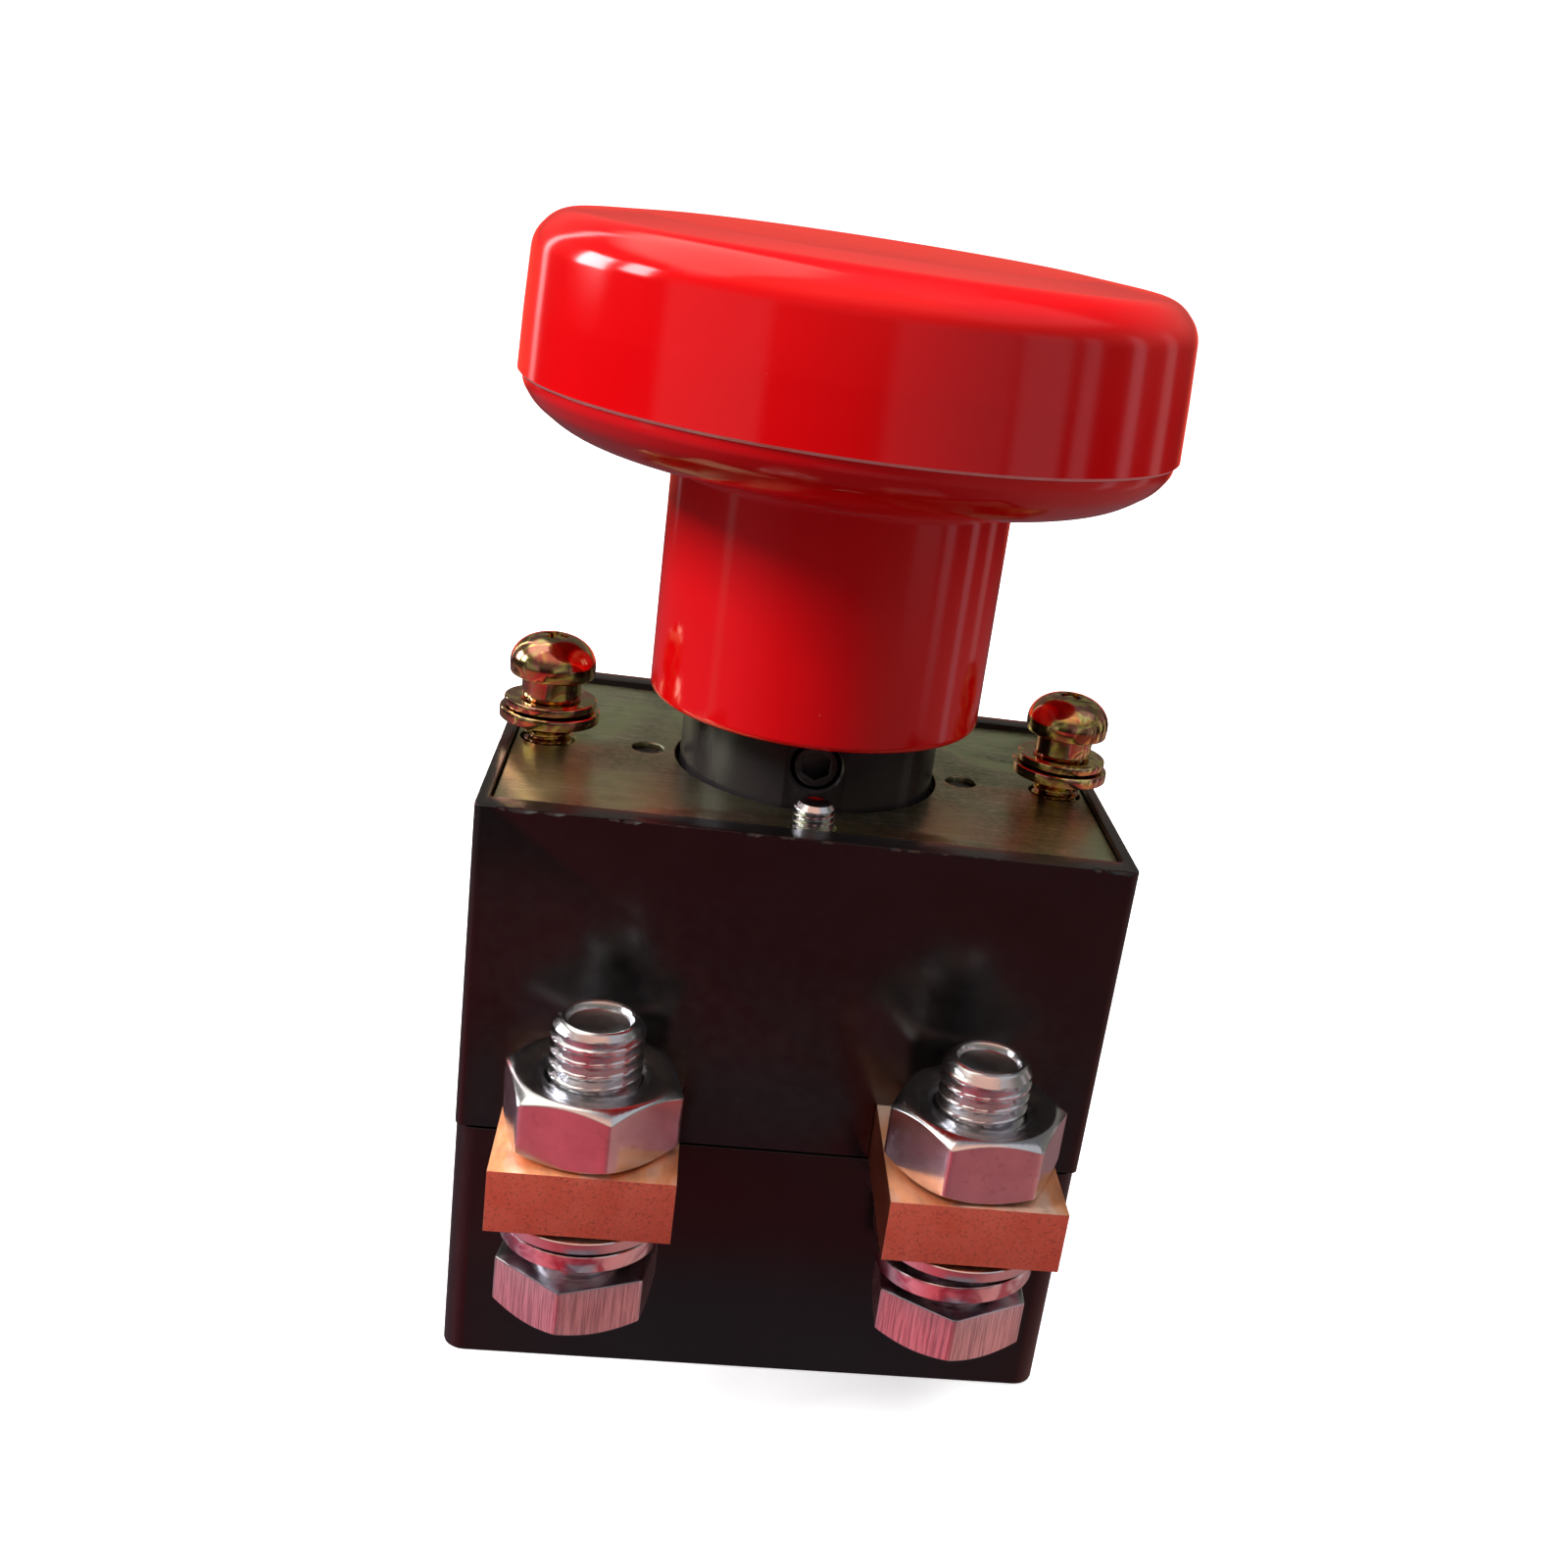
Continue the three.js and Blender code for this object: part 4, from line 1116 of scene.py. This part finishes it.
# Bright and dull patches of the room: azimuth from the front towards the right, elevation,
# half width, half height, softness sideways and upwards (degrees) and colour.
ROOM_PATCHES = (
    (-15, 58, 75, 8, 30, 22, (0.95, 0.56, 0.44)),
    (180, 0, 24, 5, 12, 4, (0.95, 0.12, 0.08)),
    (-180, 0, 34, 5, 12, 4, (0.95, 0.12, 0.08)),
    (-52, 5, 17, 6, 3, 9, (0.40, 0.36, 0.38)),
    (26, 6, 18, 6, 4, 9, (0.30, 0.27, 0.29)),
    (58, 4, 8, 10, 3, 9, (0.50, 0.44, 0.48)),
    (76, 2, 2.5, 14, 2, 6, (0.55, 0.50, 0.55)),
    (99, 0, 2.5, 18, 1.5, 8, (0.62, 0.55, 0.60)),
    (121, 0, 3, 18, 2, 8, (0.40, 0.32, 0.32)),
    (-78, -13, 2.5, 8, 1.2, 4, (0.42, 0.38, 0.38)),
    (-107, 16, 7, 8, 1.5, 2, (14.0, 13.8, 14.4)),
    (-86, 20, 5, 7, 1.2, 2, (14.0, 13.6, 14.2)),
    (-139, 24, 1.5, 12, 1.5, 22, (3.6, 3.0, 3.1)),
    (-110, 62, 45, 16, 8, 8, (1.75, 1.68, 1.50)),
    (70, 55, 30, 12, 8, 8, (0.50, 0.50, 0.53)),
    (5, -46, 18, 10, 5, 5, (0.20, 0.17, 0.19)),
)


def room_look():
    """Light by direction: a crimson table in front, dim walls and a few bright patches."""
    look = Look("dome")
    tree = look.tree
    away = look.node("ShaderNodeVectorMath", (0, look.place), operation="NORMALIZE").outputs["Vector"]
    apart = look.node("ShaderNodeSeparateXYZ", (0, away))
    backwards = look.math("MULTIPLY", apart.outputs["Y"], -1.0)
    azimuth = look.math("DEGREES", look.math("ARCTAN2", apart.outputs["X"], backwards))
    elevation = look.math("DEGREES", look.math("ARCSINE", apart.outputs["Z"]))

    def share(value, low, high):
        rows = [("Value", value), ("From Min", low), ("From Max", high)]
        return look.node("ShaderNodeMapRange", *rows).outputs["Result"]

    def at(degrees):
        return (degrees + 180) / 360

    table = look.ramp(
        share(azimuth, -180.0, 180.0),
        (at(-170), (0.12, 0.08, 0.09)), (at(-105), (0.26, 0.14, 0.17)), (at(-70), (0.72, 0.20, 0.25)),
        (at(-30), (0.56, 0.07, 0.09)), (at(12), (0.32, 0.055, 0.07)), (at(50), (0.50, 0.18, 0.17)),
        (at(95), (0.42, 0.19, 0.18)), (at(170), (0.12, 0.08, 0.09)))
    upper = look.ramp(
        share(elevation, 0.0, 90.0), (0.0, (0.03, 0.022, 0.02)), (0.22, (0.19, 0.18, 0.15)),
        (0.5, (0.12, 0.12, 0.12)), (1.0, (0.22, 0.23, 0.26)))
    table = look.mixed(share(elevation, -45.0, -65.0), table, (0.10, 0.055, 0.06))
    tint = look.mixed(share(elevation, -14.0, -8.0), table, upper)
    for patch_azimuth, patch_elevation, half_width, half_height, soft, soft_up, colour in ROOM_PATCHES:
        aside = look.math("ABSOLUTE", look.math("SUBTRACT", azimuth, patch_azimuth))
        above = look.math("ABSOLUTE", look.math("SUBTRACT", elevation, patch_elevation))
        sideways = share(aside, half_width + soft, half_width)
        upwards = share(above, half_height + soft_up, half_height)
        inside = look.math("MULTIPLY", sideways, upwards)
        tint = look.mixed(inside, tint, colour)
    glow = tree.nodes.new("ShaderNodeEmission")
    tree.links.new(tint, glow.inputs["Color"])
    tree.links.new(glow.outputs["Emission"], tree.nodes["Material Output"].inputs["Surface"])
    look.material.cycles.emission_sampling = "NONE"
    return look.material


def reflection_dome():
    """The room that only reflections see."""
    angles = even_angles(48)
    rises = [radians(-90 + 10 * step) for step in range(19)]
    rings = [circle(max(1.0, DOME_RADIUS * cos(a)), DOME_RADIUS * sin(a), angles) for a in rises]
    made = mesh_object("reflection_dome", *loft(rings), [room_look()])
    made.data.flip_normals()
    for kind in ("camera", "diffuse", "shadow", "transmission", "volume_scatter"):
        setattr(made, "visible_" + kind, False)


def area_light(name, place, size, power):
    """A soft rectangle aimed at the object, which shows in no reflection."""
    lamp = bpy.data.lights.new(name, "AREA")
    lamp.shape = "RECTANGLE"
    lamp.size, lamp.size_y = size
    lamp.energy = power
    made = bpy.data.objects.new(name, lamp)
    bpy.context.scene.collection.objects.link(made)
    made.location = place
    aim = Vector(LIGHT_TARGET) - Vector(place)
    made.rotation_euler = aim.to_track_quat("-Z", "Y").to_euler()
    made.visible_camera = False
    made.visible_glossy = False


def lights():
    area_light("key_left", (-0.88, -0.32, 0.82), (0.35, 0.4), 17)
    area_light("top_soft", (0.0, 0.10, 1.5), (1.0, 1.0), 21)
    area_light("right_soft", (0.95, 0.28, 0.32), (0.4, 0.6), 2.6)
    area_light("rear_right", (0.8, 0.8, 0.7), (0.5, 0.5), 4)


def surroundings():
    """Soft fill from all round, warm below and grey above, which reflections don't see."""
    world = bpy.data.worlds.new("studio")
    world.use_nodes = True
    tree = world.node_tree
    way = tree.nodes.new("ShaderNodeTexCoord").outputs["Generated"]
    apart = tree.nodes.new("ShaderNodeSeparateXYZ")
    tree.links.new(way, apart.inputs[0])
    rise = tree.nodes.new("ShaderNodeMapRange")
    rise.inputs["From Min"].default_value = -1.0
    tree.links.new(apart.outputs["Z"], rise.inputs["Value"])
    ramp = tree.nodes.new("ShaderNodeValToRGB")
    tree.links.new(rise.outputs["Result"], ramp.inputs["Fac"])
    stops = (
        (0.0, (0.30, 0.16, 0.17)), (0.45, (0.22, 0.16, 0.16)), (0.6, (0.24, 0.24, 0.25)),
        (1.0, (0.40, 0.40, 0.42)))
    while len(ramp.color_ramp.elements) < len(stops):
        ramp.color_ramp.elements.new(0.5)
    for element, (position, colour) in zip(ramp.color_ramp.elements, stops):
        element.position = position
        element.color = (*colour, 1)
    tree.links.new(ramp.outputs["Color"], tree.nodes["Background"].inputs["Color"])
    world.cycles_visibility.glossy = False
    bpy.context.scene.world = world
    bpy.context.scene.view_settings.view_transform = "Standard"


# ---------------------------------------------------------------- everything

camera()
studio()
reflection_dome()
lights()
surroundings()

knob_cap()
knob_body()
housings()
top_plate()
guide_boss()
for name, end in ENDS.items():
    grub_screw(name, end)
    tie_screw(name)
for name, side in SIDES.items():
    mounting_screw(name, side)
    mounting_washers(name)
    terminal_bar(name)
    terminal_hardware(name)
inner_pieces()
